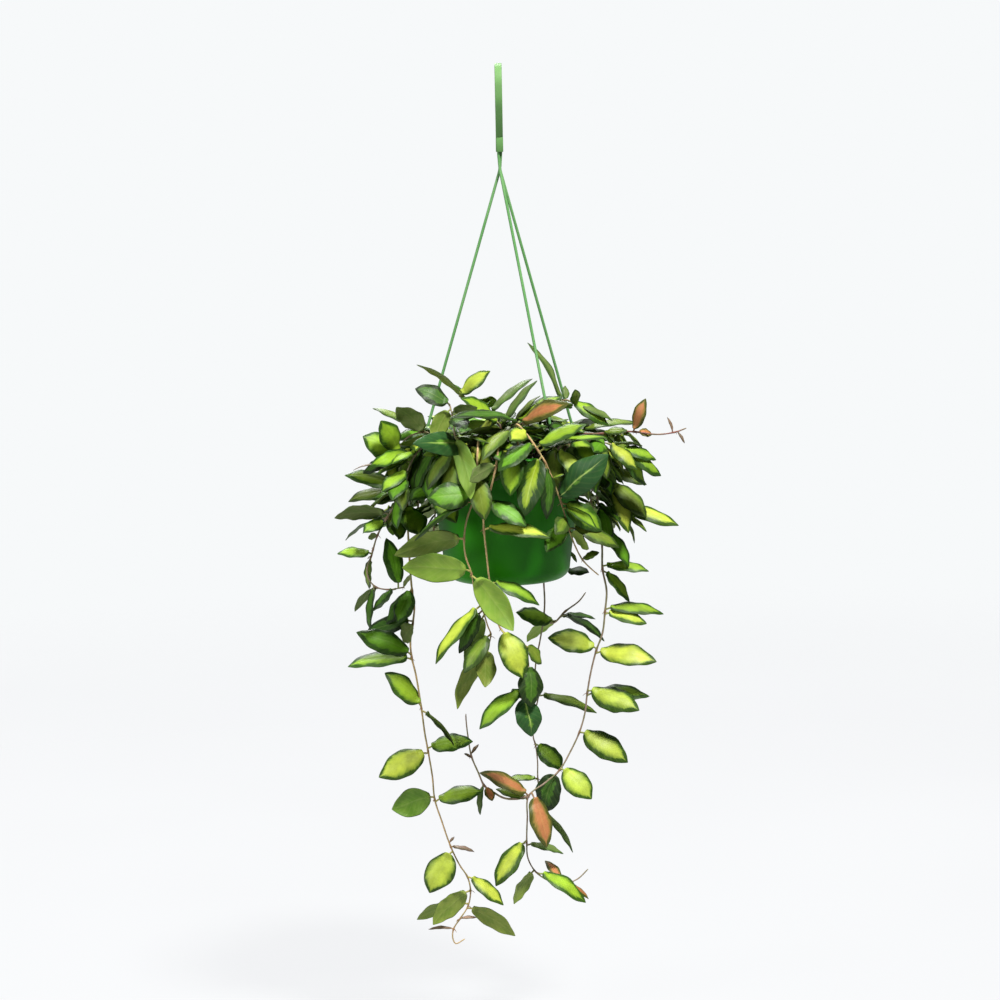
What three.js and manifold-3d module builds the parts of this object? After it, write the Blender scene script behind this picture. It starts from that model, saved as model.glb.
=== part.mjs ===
// A hoya with variegated leaves, growing in a plastic pot that hangs by three wires from a flat hook.
// Millimetres, +Z up, +X to the viewer's right, the viewer at -Y.
// The origin is the seat of the hook, the point that the whole plant hangs from.
import * as THREE from 'three';
import { mergeVertices } from 'three/addons/utils/BufferGeometryUtils.js';
import Module from 'manifold-3d';

const wasm = await Module();
wasm.setup();

// Driving dimensions
const RIM_Z = -398;            // top of the pot's rim, below the hook seat
const POT_HEIGHT = 135;
const POT_BASE_RADIUS = 52;    // flat of the underside
const POT_CORNER = 14;         // rounding between underside and wall
const POT_TOP_RADIUS = 81.5;   // outside of the wall under the rim
const POT_WALL = 1.8;
const FLANGE_RADIUS = 89;
const FLANGE_THICK = 2.6;
const HANG_RADIUS = 85.2;      // circle of the three wire holes in the flange
const SOIL_BELOW_RIM = 10;
const FIT_GAP = 0.35;          // clearance between separate pieces
const SOIL_GAP = 0.5;
const POT_SIDES = 32;
const CORNER_STEPS = 2;
const HANG_HOLE_GAP = 0.5;     // around a wire in its hole in the flange
const DRAIN_COUNT = 4;
const DRAIN_RADIUS = 4;
const DRAIN_CIRCLE = 30;       // radius of the circle that the drainage holes stand on
const DRAIN_SIDES = 10;
const BORE_HEIGHT = 8;         // of the cylinders that cut the holes, more than any wall they pass
const BORE_SIDES = 8;

const HOOK_WIDTH = 7.4;
const HOOK_THICK = 4;
const HOOK_INNER_RADIUS = 20;
const HOOK_ARC_STEPS = 14;
const HOOK_TIP_Z = -44;
const HOOK_SHANK_Z = -40;      // where the straight shank starts to slant back
const SHANK_STEP = 1;          // how much lower the slant starts on the strip's inside
const STRIP_TUCK = 2;          // length of strip inside the block
const STRIP_FOOT = 6;          // height over the block where the strip has its plain thickness again
const BLOCK_TOP_Z = -72;
const BLOCK_BOTTOM_Z = -87;
const BLOCK_HALF_WIDTH = 3.8;  // across, as wide as the strip
const BLOCK_HALF_DEPTH = 6.6;  // along the line of the three sockets
const BLOCK_CHAMFER = 1.2;
const WIRE_RADIUS = 1.5;
const SOCKET_DEPTH = 7;
const PINCH_Z = -105;          // where the wires pass each other below the block
const WIRE_SIDES = 8;
const WIRE_INTO_SOCKET = 6;
const WIRE_BELOW_BLOCK = 2;    // length of a wire's straight end under the block
const WIRE_INTO_HEAD = 1;
const WIRE_UPRIGHT = 12;       // length above the rim where a wire turns upright into its hole
const HEAD_RADIUS = 3.2;
const HEAD_THICK = 2.4;
const HEAD_SIDES = 12;

const STEM_RADIUS = 1.25;
const STEM_TIP_RADIUS = 0.7;
const STEM_SIDES = 4;
const ROOT_DEPTH = 14;         // length of stem that stands in the soil
const ROOT_HOLE_RADIUS = 3;
const ROOT_HOLE_SIDES = 4;
const ROOT_COLLAR = 1;         // where a stem leaves the upright, above the soil
const ROOT_HOLE_BELOW = 0.5;   // depth of a root's hole past the root's end
const ROOT_HOLE_ABOVE = 2.5;   // of the cylinder that cuts it, over the soil

const STALK_APART = 4.5;       // between the stalks of one node, along the stem
const STALK_SHARE = 0.1;       // leaf stalk as a share of the leaf, within these lengths
const STALK_MIN = 1.5;
const STALK_MAX = 5.5;
const STALK_LIFT = 0.4;
const STALK_RADIUS = 0.8;
const STALK_FOOT = 0.3;        // share of the stalk's radius that is left inside the stem
const BLADE_THICK = 2;         // at the midrib
const BLADE_ARCH = 0.09;       // rise of the midrib over the chord
const BLADE_STATIONS = [0.2, 0.5, 0.8];
const PLAIN_BLADE_STATIONS = [0.27, 0.68];  // of small leaves, and of leaves placed by rule
const SMALL_LEAF = 38;
const NARROW_LEAF = 10;        // width under which a leaf has a thinner stalk and blade
const LEAST_STALK = 0.75;      // stalk of the narrowest leaf, as a share of the full radius
const LEAST_BLADE = 0.6;       // thickness of the narrowest leaf, as a share of the full thickness
const FACING_OUT = 0.9;        // level and upward parts of the way that a leaf placed by rule faces
const FACING_UP = 0.45;
const SEEN_BREADTH = 1.1;      // true width of a hand-placed blade, over the width that shows

// A leaf that would touch another vine moves its tip this far towards or away from the viewer.
const TIP_SHIFTS = [0, 7, -7, 14, -14, 21, -21, 28, -28, 36, -36, 44, -44];

// A leaf placed by rule moves its tip outwards or inwards instead, and swings about its foot by degrees.
const RULE_SHIFTS = [0, 7, -7, 14, -14, 21];
const RULE_SWINGS = [0, 15, -15, 30, -30, 48, -48];
const LEAF_CLEARANCE = 0.5;

// Places on the plant are written as [x, z, y]. x and z are read on the upright plane through
// the hook, and the point then moves along the line of sight to its own depth y.
const VIEWPOINT = new THREE.Vector3(-6.5, -3172.6, -32.4);
const UP = new THREE.Vector3(0, 0, 1);

// Each stem stands in the soil at its root [x, y] and runs through its points.
// A leaf is [stem point it grows from, tip x, tip z, tip y, width, turn].
// Turn 0 shows the upper face to the viewer, 90 points it up and 180 shows the underside.
const FRONT_VINES = [
  {
    name: 'vine_left_long', root: [-60, -18],
    stem: [[-78, -386, -22], [-96, -400, -28], [-103, -434, -32], [-104, -456, -34], [-103, -510, -35],
      [-101, -545, -36], [-99, -562, -36], [-101, -580, -36], [-104, -600, -37], [-103, -616, -37],
      [-99, -635, -38], [-94, -671, -38], [-91, -698, -38], [-88, -717, -38], [-84, -745, -38],
      [-82, -770, -38], [-75, -794, -38], [-66, -822, -38], [-57, -842, -38], [-49, -855, -38],
      [-46, -870, -38], [-49, -887, -38], [-58, -901, -38], [-65, -912, -38], [-66, -922, -38],
      [-63, -928, -38], [-53, -923, -38]],
    leaves: [[2, -111, -456, -58, 20, 28], [3, -92, -486, -62, 26, 20], [5, -117, -580, -46, 22, 30],
      [5, -129, -580, -24, 20, 50], [7, -152, -592, -48, 22, 35], [7, -112, -598, -62, 20, 140],
      [9, -161, -588, -30, 25, 28], [9, -171, -625, -46, 24, 52], [11, -132, -632, -48, 25, 35],
      [11, -60, -713, -50, 18, 76], [13, -40, -708, -30, 22, 40], [13, -141, -745, -50, 28, 20],
      [15, -128, -780, -42, 28, 165], [15, -30, -762, -44, 22, 40], [17, -62, -811, -34, 5, 60],
      [17, -41, -828, -44, 8, 60], [17, -90, -872, -50, 29, 12], [19, -11, -887, -44, 19, 42],
      [20, -87, -907, -52, 22, 150], [21, -104, -901, -26, 20, 135], [21, 1, -921, -44, 20, 145],
      [22, -40, -900, -38, 5, 50], [23, -92, -912, -36, 5, 50]],
  },
  {
    name: 'vine_left_loop', root: [-50, -34],
    stem: [[-70, -384, -44], [-92, -398, -52], [-106, -425, -54], [-114, -448, -54], [-126, -467, -54],
      [-136, -485, -54], [-141, -500, -54], [-143, -507, -54], [-148, -520, -54], [-146, -532, -54],
      [-139, -540, -54], [-126, -543, -54], [-110, -541, -54]],
    leaves: [[4, -181, -466, -60, 22, 130], [4, -170, -490, -46, 16, 100], [4, -151, -482, -66, 14, 30],
      [5, -146, -488, -60, 8, 140], [7, -179, -504, -58, 16, 50], [7, -146, -542, -44, 14, 60],
      [10, -146, -586, -58, 14, 60], [10, -162, -566, -44, 12, 130], [12, -143, -566, -62, 16, 60],
      [12, -127, -488, -44, 22, 35], [12, -101, -527, -60, 8, 120]],
  },
  {
    name: 'vine_front_left', root: [-24, -50],
    stem: [[-27, -384, -70], [-29, -398, -93], [-31, -433, -95], [-35, -451, -95], [-42, -471, -94],
      [-45, -491, -93], [-44, -508, -92], [-38, -528, -91], [-34, -552, -90], [-27, -567, -90],
      [-22, -584, -90], [-19, -593, -90], [-22, -607, -90]],
    leaves: [[3, -83, -447, -104, 28, 22], [3, -97, -492, -112, 18, 75], [3, -22, -450, -100, 8, 60],
      [5, -119, -507, -84, 26, 150], [7, -111, -520, -104, 28, 165], [7, 5, -590, -112, 28, 160],
      [9, -78, -624, -104, 22, 55], [9, -53, -613, -84, 20, 40], [9, -44, -637, -78, 20, 150],
      [11, -48, -634, -106, 20, 30], [12, -56, -673, -94, 20, 140], [12, -26, -650, -104, 22, 150]],
  },
  {
    name: 'vine_front', root: [-6, -54],
    stem: [[-7, -386, -76], [-8, -400, -95], [-10, -414, -97], [-16, -438, -97], [-21, -452, -97],
      [-24, -467, -96], [-24, -481, -95], [-22, -505, -94], [-19, -538, -92], [-15, -562, -90],
      [-8, -588, -90], [5, -597, -88], [17, -606, -86], [20, -625, -86], [17, -645, -86],
      [13, -663, -86]],
    leaves: [[2, -38, -430, -130, 16, 150], [4, 21, -479, -110, 22, 35], [6, 47, -492, -102, 20, 48],
      [8, 33, -563, -96, 20, 50], [10, 14, -641, -104, 28, 18], [12, 34, -626, -80, 18, 50],
      [13, 22, -672, -98, 26, 25], [15, -33, -695, -96, 22, 40], [15, 22, -704, -92, 26, 20],
      [15, 3, -652, -70, 12, 40]],
  },
  {
    name: 'vine_front_right', root: [16, -44],
    stem: [[12, -371, -62], [24, -383, -80], [34, -398, -90], [42, -412, -92], [48, -427, -90],
      [53, -441, -86], [58, -455, -82], [62, -470, -78], [66, -484, -74], [71, -499, -70],
      [79, -515, -66], [88, -525, -62], [96, -532, -60]],
    leaves: [[2, -8, -420, -118, 22, 40], [2, 86, -372, -96, 20, 48], [2, 108, -387, -72, 18, 70],
      [2, 19, -468, -108, 28, 25], [3, 42, -472, -96, 18, 40], [4, 36, -422, -98, 6, 60],
      [4, 62, -424, -96, 5, 60], [6, 108, -404, -112, 30, 15], [6, 100, -485, -66, 24, 25],
      [6, 95, -484, -94, 16, 55], [8, 118, -503, -84, 20, 45], [8, 86, -504, -96, 18, 120],
      [10, 97, -508, -70, 10, 45]],
  },
  {
    name: 'vine_right_long', root: [58, -6],
    stem: [[74, -384, -8], [93, -398, -10], [96, -420, -10], [95, -441, -10], [97, -460, -10],
      [99, -480, -10], [100, -503, -10], [100, -525, -10], [104, -549, -10], [102, -571, -10],
      [99, -594, -10], [92, -613, -10], [86, -636, -10], [82, -658, -10], [79, -680, -10],
      [73, -700, -12], [63, -721, -14], [51, -741, -18], [36, -754, -22], [18, -768, -24],
      [16, -793, -24], [15, -819, -24], [16, -836, -24], [24, -851, -24], [38, -861, -24],
      [54, -864, -22], [68, -860, -20], [80, -849, -18]],
    leaves: [[5, 128, -524, -24, 18, 42], [7, 149, -529, -20, 18, 55], [7, 128, -561, -4, 18, 55],
      [9, 164, -575, -2, 18, 50], [9, 146, -585, -24, 20, 45], [11, 41, -598, -22, 26, 30],
      [11, 156, -626, -22, 26, 35], [13, 137, -678, -30, 28, 30], [13, 148, -663, -4, 22, 45],
      [15, 124, -734, -24, 28, 28], [17, 85, -773, -30, 26, 20], [17, 33, -786, -8, 28, 25],
      [19, 36, -825, -40, 24, 30], [19, -34, -742, -34, 20, 42], [19, -17, -760, -16, 14, 50],
      [21, -19, -866, -34, 24, 35], [21, 54, -832, -14, 14, 60], [23, 0, -886, -30, 18, 130],
      [23, 77, -886, -32, 22, 48], [25, 34, -839, -22, 12, 40], [25, 80, -882, -18, 8, 50]],
    branch: {
      from: 19,
      stem: [[6, -771, -26], [-8, -770, -28], [-20, -763, -28], [-29, -756, -28], [-35, -742, -28],
        [-42, -724, -28], [-45, -705, -28], [-47, -684, -28], [-47, -678, -28]],
      leaves: [[3, -21, -773, -36, 11, 30], [3, -34, -788, -30, 9, 50], [5, -50, -721, -30, 4, 50],
        [5, -34, -711, -26, 5, 50]],
    },
  },
  {
    name: 'vine_behind', root: [12, 40],
    stem: [[26, -372, 66], [30, -388, 95], [34, -430, 97], [36, -490, 94], [38, -541, 92],
      [38.5, -560, 91], [37, -578, 90], [33, -600, 90], [28, -625, 90], [27, -645, 90],
      [30, -660, 90], [25, -682, 90], [24, -705, 90], [26, -712, 90], [28, -730, 90],
      [28, -750, 90], [30, -767, 90], [31, -783, 90]],
    leaves: [[10, 92, -680, 86, 20, 62], [13, 54, -741, 80, 22, 30], [15, -6, -752, 84, 14, 60],
      [17, 64, -831, 86, 14, 65]],
    branch: {
      from: 6,
      stem: [[47, -582, 88], [60, -570, 86], [75, -559, 84], [82, -550, 84]],
      leaves: [[0, 8, -570, 74, 24, 45], [0, 19, -602, 76, 18, 125], [0, 92, -579, 94, 14, 68],
        [0, 101, -603, 80, 16, 60]],
    },
  },
  {
    name: 'vine_back_right', root: [40, 30],
    stem: [[52, -376, 50], [64, -392, 74], [67, -430, 78], [67, -470, 77], [65, -505, 75], [62, -527, 74]],
    leaves: [[5, 86, -529, 60, 16, 55], [4, 73, -518, 66, 6, 50]],
  },
  {
    name: 'crown_upper_left', root: [-12, -30],
    stem: [[-4, -374, -48], [-16, -360, -50], [-30, -349, -50], [-47, -340, -48]],
    leaves: [[1, 30, -323, -40, 16, 62], [0, 35, -325, -58, 16, 62], [3, -91, -306, -52, 16, 110],
      [3, -57, -326, -40, 10, 60], [3, -14, -314, -62, 20, 48], [0, -46, -342, -70, 20, 50]],
  },
  {
    name: 'crown_centre', root: [4, -28],
    stem: [[5, -384, -38], [9, -370, -46], [22, -371, -52]],
    leaves: [[1, -24, -408, -96, 20, 45], [1, 38, -341, -44, 12, 70], [1, 62, -342, -60, 20, 50],
      [2, 68, -350, -76, 22, 40], [2, 37, -375, -62, 8, 60], [1, -58, -363, -82, 16, 60],
      [0, -42, -381, -84, 14, 120]],
  },
  {
    name: 'crown_left_front', root: [-34, -34],
    stem: [[-40, -397, -56], [-52, -382, -82], [-54, -364, -76], [-57, -349, -68]],
    leaves: [[0, -97, -389, -98, 25, 28], [1, -37, -449, -116, 22, 150], [3, -28, -352, -80, 14, 130],
      [3, -76, -388, -90, 20, 150], [3, -93, -331, -70, 22, 35]],
  },
  {
    name: 'crown_left', root: [-56, -2],
    stem: [[-72, -382, -12], [-86, -377, -16], [-104, -384, -18], [-119, -410, -20]],
    leaves: [[1, -113, -350, -34, 26, 140], [1, -138, -351, -10, 14, 60], [3, -130, -364, -44, 24, 25],
      [3, -149, -380, -30, 26, 28], [3, -150, -419, -10, 16, 45], [3, -160, -416, -34, 4, 70]],
  },
  {
    name: 'crown_left_low', root: [-52, 12],
    stem: [[-76, -386, 10], [-94, -398, 6], [-108, -418, 0], [-114, -437, -4], [-117, -452, -8],
      [-117, -466, -10]],
    leaves: [[3, -169, -421, -22, 22, 48], [3, -166, -449, -2, 18, 50], [5, -113, -490, -24, 18, 40]],
  },
  {
    name: 'crown_right_upper', root: [26, -14],
    stem: [[38, -378, -18], [52, -356, -22], [64, -346, -24], [78, -354, -26]],
    leaves: [[2, 25, -285, -30, 16, 68], [2, 64, -331, -14, 8, 30], [3, 74, -335, -38, 12, 35],
      [2, 109, -374, -46, 20, 48], [3, 113, -369, -16, 12, 60]],
  },
  {
    name: 'shoot_right', root: [50, -22],
    stem: [[66, -382, -26], [88, -382, -30], [103, -382, -32], [120, -380, -32], [137, -381, -32],
      [160, -384, -32], [178, -382, -32], [190, -378, -32]],
    leaves: [[2, 128, -380, -44, 12, 50], [4, 148, -346, -40, 14, 25], [4, 154, -384, -24, 10, 40],
      [6, 170, -366, -30, 4, 50], [6, 188, -394, -34, 4, 50]],
  },
  {
    name: 'crown_right', root: [46, -42],
    stem: [[70, -386, -52], [94, -390, -58], [112, -394, -58], [124, -402, -58]],
    leaves: [[2, 138, -421, -72, 20, 45], [2, 144, -396, -48, 14, 100], [3, 158, -411, -60, 18, 52],
      [3, 163, -428, -54, 20, 50], [2, 146, -438, -80, 20, 50], [0, 45, -373, -70, 18, 55]],
  },
  {
    name: 'crown_right_low', root: [58, 10],
    stem: [[78, -386, 8], [96, -396, 6], [106, -418, -2], [109, -437, -10], [116, -455, -14],
      [124, -471, -16]],
    leaves: [[3, 147, -472, -28, 24, 40], [3, 128, -488, -40, 22, 38], [5, 181, -481, -20, 20, 45],
      [5, 147, -487, -26, 10, 60], [5, 134, -499, -12, 6, 60]],
  },
];

// Vines at the back hang over the rim by one rule: [direction in degrees, stem length below the rim].
const BACK_VINES = [[58, 96], [78, 70], [100, 118], [120, 84], [141, 104], [161, 66], [22, 74]];
const BACK_SEEDS = [1009, 97];  // of the draws for the first vine, and the step to the next
const BACK_ROOT_RADIUS = 46;
const BACK_ROOT_STRAY = [-5, 5];
const BACK_ROOT_TURN = [-8, 8];
const BACK_CREST_RADIUS = 72;
const BACK_CREST_RISE = 12;
const BACK_HANG_RADIUS = 97;
const BACK_HANG_RISE = 1;
const BACK_HANG_STRAY = [-1, 4];
const BACK_SWAY = [-4, 4];
const BACK_NODE_STEP = 30;
const BACK_TIP_OUT = 4;
const BACK_TIP_FALL = 10;
const BACK_LEAF = {
  length: [42, 56], width: [0.38, 0.46], spread: [38, 78], droop: [12, 48], turn: [18, 60],
};

// Short shoots lean over the rim between the hanging vines: [direction, fall below the rim].
const RIM_SHOOTS = [[203, 16], [222, 30], [235, 12], [245, 34], [275, 14], [315, 34], [335, 12],
  [347, 30], [12, 18], [168, 26], [303, 24]];
const RIM_SEEDS = [3001, 113];
const RIM_ROOT_RADIUS = 69;
const RIM_CREST_RADIUS = 91;
const RIM_CREST_RISE = 14;
const RIM_SWAY = [-2, 2];
const RIM_LEAF = {
  length: [40, 52], width: [0.44, 0.5], spread: [34, 75], droop: [2, 36], turn: [20, 50],
};
const CURTAIN_LEAF = {
  length: [50, 60], width: [0.44, 0.5], spread: [12, 46], droop: [58, 76], turn: [0, 16],
};

// Short shoots fill the crown behind the front leaves: root x, root y and direction in degrees.
const FILL_SHOOTS = [[-30, 8, 150], [-8, 18, 100], [14, 8, 60], [38, 2, 15], [-40, -12, 190],
  [-16, -38, 240], [2, -16, 285], [-24, 44, 110], [-40, -46, 245], [30, -28, 300], [-2, -4, 90],
  [-26, -14, 200], [22, 12, 20], [62, 24, 40], [24, -4, 350], [-46, 8, 175]];
const FILL_SEEDS = [5003, 131];
const FILL_HEIGHT = [20, 38];
const FILL_REACH = 26;
const FILL_KNEE = 0.4;         // share of the reach where the shoot's lower pair of leaves grows
const FILL_TOP_RISE = [4, 12];
const FILL_LEAF = {
  length: [44, 56], width: [0.3, 0.42], spread: [30, 85], droop: [-20, 16], turn: [50, 80],
};

const SOIL_Z = RIM_Z - SOIL_BELOW_RIM;
const BASE_Z = RIM_Z - POT_HEIGHT;
const HANG_ANGLES = { wire_left: 181, wire_right: 30, wire_front: 306 };
const SOCKETS = { wire_left: [1.2, 0], wire_right: [-1.2, 3.6], wire_front: [-1.2, -3.6] };
const PINCHES = { wire_left: [0, 0], wire_right: [0, 3.5], wire_front: [0, -3.5] };

const point = (x, y, z) => new THREE.Vector3(x, y, z);

function polar(radius, degrees, z) {
  const angle = THREE.MathUtils.degToRad(degrees);
  return point(radius * Math.cos(angle), radius * Math.sin(angle), z);
}

function seen([x, z, y]) {
  const reach = (y - VIEWPOINT.y) / -VIEWPOINT.y;
  return point(
    VIEWPOINT.x + (x - VIEWPOINT.x) * reach,
    y,
    VIEWPOINT.z + (z - VIEWPOINT.z) * reach,
  );
}

// Park-Miller draws: the same sequence for the same seed on every run
function seeded([first, step], index) {
  let state = first + step * index;
  return ([low, high]) => {
    state = (state * 16807) % 2147483647;
    return low + (high - low) * (state / 2147483647);
  };
}

// Closed surface through rings of equal size. The last entry may be one point.
function loft(rings) {
  const size = rings[0].length;
  const positions = rings.flat().flatMap((p) => [p.x, p.y, p.z]);
  const faces = [];
  for (let k = 1; k < size - 1; k += 1) faces.push(0, k + 1, k);
  for (let i = 0; i < rings.length - 1; i += 1) {
    const here = i * size;
    const next = here + size;
    for (let k = 0; k < size; k += 1) {
      const after = (k + 1) % size;
      if (rings[i + 1].length === 1) {
        faces.push(here + k, here + after, next);
      } else {
        faces.push(here + k, here + after, next + k, here + after, next + after, next + k);
      }
    }
  }
  const last = rings[rings.length - 1];
  if (last.length > 1) {
    const end = (rings.length - 1) * size;
    for (let k = 1; k < size - 1; k += 1) faces.push(end, end + k, end + k + 1);
  }
  const geometry = new THREE.BufferGeometry();
  geometry.setAttribute('position', new THREE.Float32BufferAttribute(positions, 3));
  geometry.setIndex(faces);
  return geometry;
}

function solid(geometry) {
  const bare = geometry.clone();
  bare.deleteAttribute('normal');
  bare.deleteAttribute('uv');
  const merged = mergeVertices(bare, 1e-4);
  return new wasm.Manifold(new wasm.Mesh({
    numProp: 3,
    vertProperties: new Float32Array(merged.attributes.position.array),
    triVerts: new Uint32Array(merged.index.array),
  }));
}

function geometryOf(manifold) {
  const mesh = manifold.getMesh();
  const geometry = new THREE.BufferGeometry();
  geometry.setAttribute('position', new THREE.BufferAttribute(mesh.vertProperties, 3));
  geometry.setIndex(new THREE.BufferAttribute(mesh.triVerts, 1));
  geometry.computeVertexNormals();
  return geometry;
}

// Tube through given points, with its radius easing from start to end
function tube(points, startRadius, endRadius, sides) {
  const last = points.length - 1;
  const normal = point(0, 1, 0);
  const rings = points.map((centre, i) => {
    const along = points[Math.min(i + 1, last)].clone().sub(points[Math.max(i - 1, 0)]).normalize();
    normal.addScaledVector(along, -normal.dot(along)).normalize();
    const across = along.clone().cross(normal);
    const radius = THREE.MathUtils.lerp(startRadius, endRadius, i / last);
    return Array.from({ length: sides }, (_, k) => {
      const angle = (k / sides) * 2 * Math.PI;
      return centre.clone()
        .addScaledVector(normal, radius * Math.cos(angle))
        .addScaledVector(across, radius * Math.sin(angle));
    });
  });
  return loft(rings);
}

function upright(radius, height, centre, sides) {
  const cylinder = new THREE.CylinderGeometry(radius, radius, height, sides);
  cylinder.rotateX(Math.PI / 2);
  cylinder.translate(centre.x, centre.y, centre.z);
  return cylinder;
}

// Half width of a blade at a share of its length: round base, drawn-out tip
function bladeProfile(share) {
  return Math.sin(Math.PI * share ** 0.9) ** (0.46 + 0.34 * share);
}

// Stalk and blade as one closed body of three-cornered sections
function leafGeometry(leaf, tip, extra) {
  const whole = tip.clone().sub(leaf.base);
  const stalk = THREE.MathUtils.clamp(whole.length() * STALK_SHARE, STALK_MIN, STALK_MAX);
  const leave = whole.clone().normalize().addScaledVector(UP, STALK_LIFT).normalize();
  const collar = leaf.base.clone().addScaledVector(leave, stalk);
  const chord = tip.clone().sub(collar);
  const length = chord.length();
  const along = chord.clone().normalize();
  const toward = leaf.outward.clone().addScaledVector(along, -leaf.outward.dot(along)).normalize();
  const raised = along.clone().cross(toward);
  if (raised.z < 0) raised.negate();
  const turn = THREE.MathUtils.degToRad(leaf.turn);
  const face = toward.clone().multiplyScalar(Math.cos(turn)).addScaledVector(raised, Math.sin(turn));
  const side = along.clone().cross(face);

  // Flat below, with a low ridge along the midrib above
  const section = (centre, halfWidth, thick) => [
    centre.clone().addScaledVector(side, -halfWidth).addScaledVector(face, -thick / 2),
    centre.clone().addScaledVector(face, thick / 2),
    centre.clone().addScaledVector(side, halfWidth).addScaledVector(face, -thick / 2),
  ];
  const plain = leaf.ruled || whole.length() < SMALL_LEAF;
  const stations = plain ? PLAIN_BLADE_STATIONS : BLADE_STATIONS;
  const thin = Math.min(1, leaf.width / NARROW_LEAF);
  const stalkRadius = STALK_RADIUS * Math.max(LEAST_STALK, thin) + extra;
  const footRadius = STALK_FOOT * stalkRadius;
  const rings = [
    section(leaf.base, footRadius, 2 * footRadius),
    section(collar, stalkRadius, 2 * stalkRadius),
  ];
  for (const share of stations) {
    const rise = BLADE_ARCH * length * 4 * share * (1 - share);
    const centre = collar.clone().addScaledVector(chord, share).addScaledVector(face, rise);
    const halfWidth = (leaf.width / 2) * bladeProfile(share) + extra;
    rings.push(section(centre, halfWidth, BLADE_THICK * Math.max(LEAST_BLADE, thin) + 2 * extra));
  }
  rings.push([tip.clone().addScaledVector(along, extra)]);
  return loft(rings);
}

function rootPoints([x, y]) {
  return [point(x, y, SOIL_Z - ROOT_DEPTH), point(x, y, SOIL_Z + ROOT_COLLAR)];
}

function stemGeometry(points) {
  return tube(points, STEM_RADIUS, STEM_TIP_RADIUS, STEM_SIDES);
}

// Foot of a stalk inside the stem. The leaves of one node, counted by place, follow each other along it.
function stalkFoot(stem, at, place, count) {
  const last = stem.length - 1;
  const first = at === 0 ? 0 : (1 - count) / (at === last ? 1 : 2);
  const offset = (first + place) * STALK_APART;
  if (offset === 0) return stem[at].clone();
  const neighbour = stem[at + Math.sign(offset)];
  return stem[at].clone().lerp(neighbour, Math.abs(offset) / stem[at].distanceTo(neighbour));
}

// Leaves of a hand-placed stem. Their tips move along the line of sight.
function seenLeaves(stem, rows) {
  return rows.map(([at, x, z, y, width, turn], index) => {
    const mates = rows.filter((row) => row[0] === at);
    const base = stalkFoot(stem, at, mates.indexOf(rows[index]), mates.length);
    return {
      base,
      width: width * SEEN_BREADTH,
      turn,
      outward: VIEWPOINT.clone().sub(base).normalize(),
      tips: TIP_SHIFTS.map((shift) => seen([x, z, y - shift])),
    };
  });
}

function frontVine({ name, root, stem, leaves, branch }) {
  const main = stem.map(seen);
  const vine = {
    name,
    root,
    stems: [stemGeometry([...rootPoints(root), ...main])],
    leaves: seenLeaves(main, leaves),
  };
  if (branch) {
    const side = branch.stem.map(seen);
    vine.stems.push(stemGeometry([main[branch.from], ...side]));
    vine.leaves.push(...seenLeaves(side, branch.leaves));
  }
  return vine;
}

// One leaf by rule: heading is its compass direction and droop its angle below level
function ruleLeaf(base, heading, droop, length, widthShare, turn) {
  const fall = THREE.MathUtils.degToRad(droop);
  const tipAt = (swing) => {
    const reach = polar(length * Math.cos(fall), heading + swing, -length * Math.sin(fall));
    return reach.add(base);
  };
  const away = Math.atan2(base.y, base.x) * THREE.MathUtils.RAD2DEG;
  const outward = polar(FACING_OUT, away, FACING_UP).normalize();
  return {
    base,
    width: length * widthShare,
    turn,
    outward,
    ruled: true,
    tips: RULE_SWINGS.flatMap(
      (swing) => RULE_SHIFTS.map((shift) => tipAt(swing).addScaledVector(outward, shift)),
    ),
  };
}

function leafPair(stem, at, heading, kind, draw) {
  return [-1, 1].map((sign, place) => {
    const spread = sign * draw(kind.spread);
    const length = draw(kind.length);
    const droop = draw(kind.droop);
    const base = stalkFoot(stem, at, place, 2);
    return ruleLeaf(base, heading + spread, droop, length, draw(kind.width), draw(kind.turn));
  });
}

function backVine([heading, drop], index) {
  const draw = seeded(BACK_SEEDS, index);
  const root = polar(BACK_ROOT_RADIUS + draw(BACK_ROOT_STRAY), heading + draw(BACK_ROOT_TURN), 0);
  const points = [
    polar(BACK_CREST_RADIUS, heading, RIM_Z + BACK_CREST_RISE),
    polar(BACK_HANG_RADIUS, heading, RIM_Z + BACK_HANG_RISE),
  ];
  const nodes = [1];
  for (let depth = BACK_NODE_STEP; depth <= drop; depth += BACK_NODE_STEP) {
    const sway = heading + draw(BACK_SWAY);
    nodes.push(points.length);
    points.push(polar(BACK_HANG_RADIUS + draw(BACK_HANG_STRAY), sway, RIM_Z - depth));
  }
  points.push(points[points.length - 1].clone().add(polar(BACK_TIP_OUT, heading, -BACK_TIP_FALL)));
  return {
    name: `vine_back_${index + 1}`,
    root: [root.x, root.y],
    stems: [stemGeometry([...rootPoints([root.x, root.y]), ...points])],
    leaves: nodes.flatMap((at) => leafPair(points, at, heading, BACK_LEAF, draw)),
  };
}

function rimShoot([heading, fall], index) {
  const draw = seeded(RIM_SEEDS, index);
  const root = polar(RIM_ROOT_RADIUS, heading, 0);
  const crest = polar(RIM_CREST_RADIUS, heading, RIM_Z + RIM_CREST_RISE);
  const end = polar(BACK_HANG_RADIUS, heading + draw(RIM_SWAY), RIM_Z - fall);
  return {
    name: `crown_rim_${index + 1}`,
    root: [root.x, root.y],
    stems: [stemGeometry([...rootPoints([root.x, root.y]), crest, end])],
    leaves: [CURTAIN_LEAF, RIM_LEAF].flatMap((kind, at) => leafPair([crest, end], at, heading, kind, draw)),
  };
}

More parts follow.
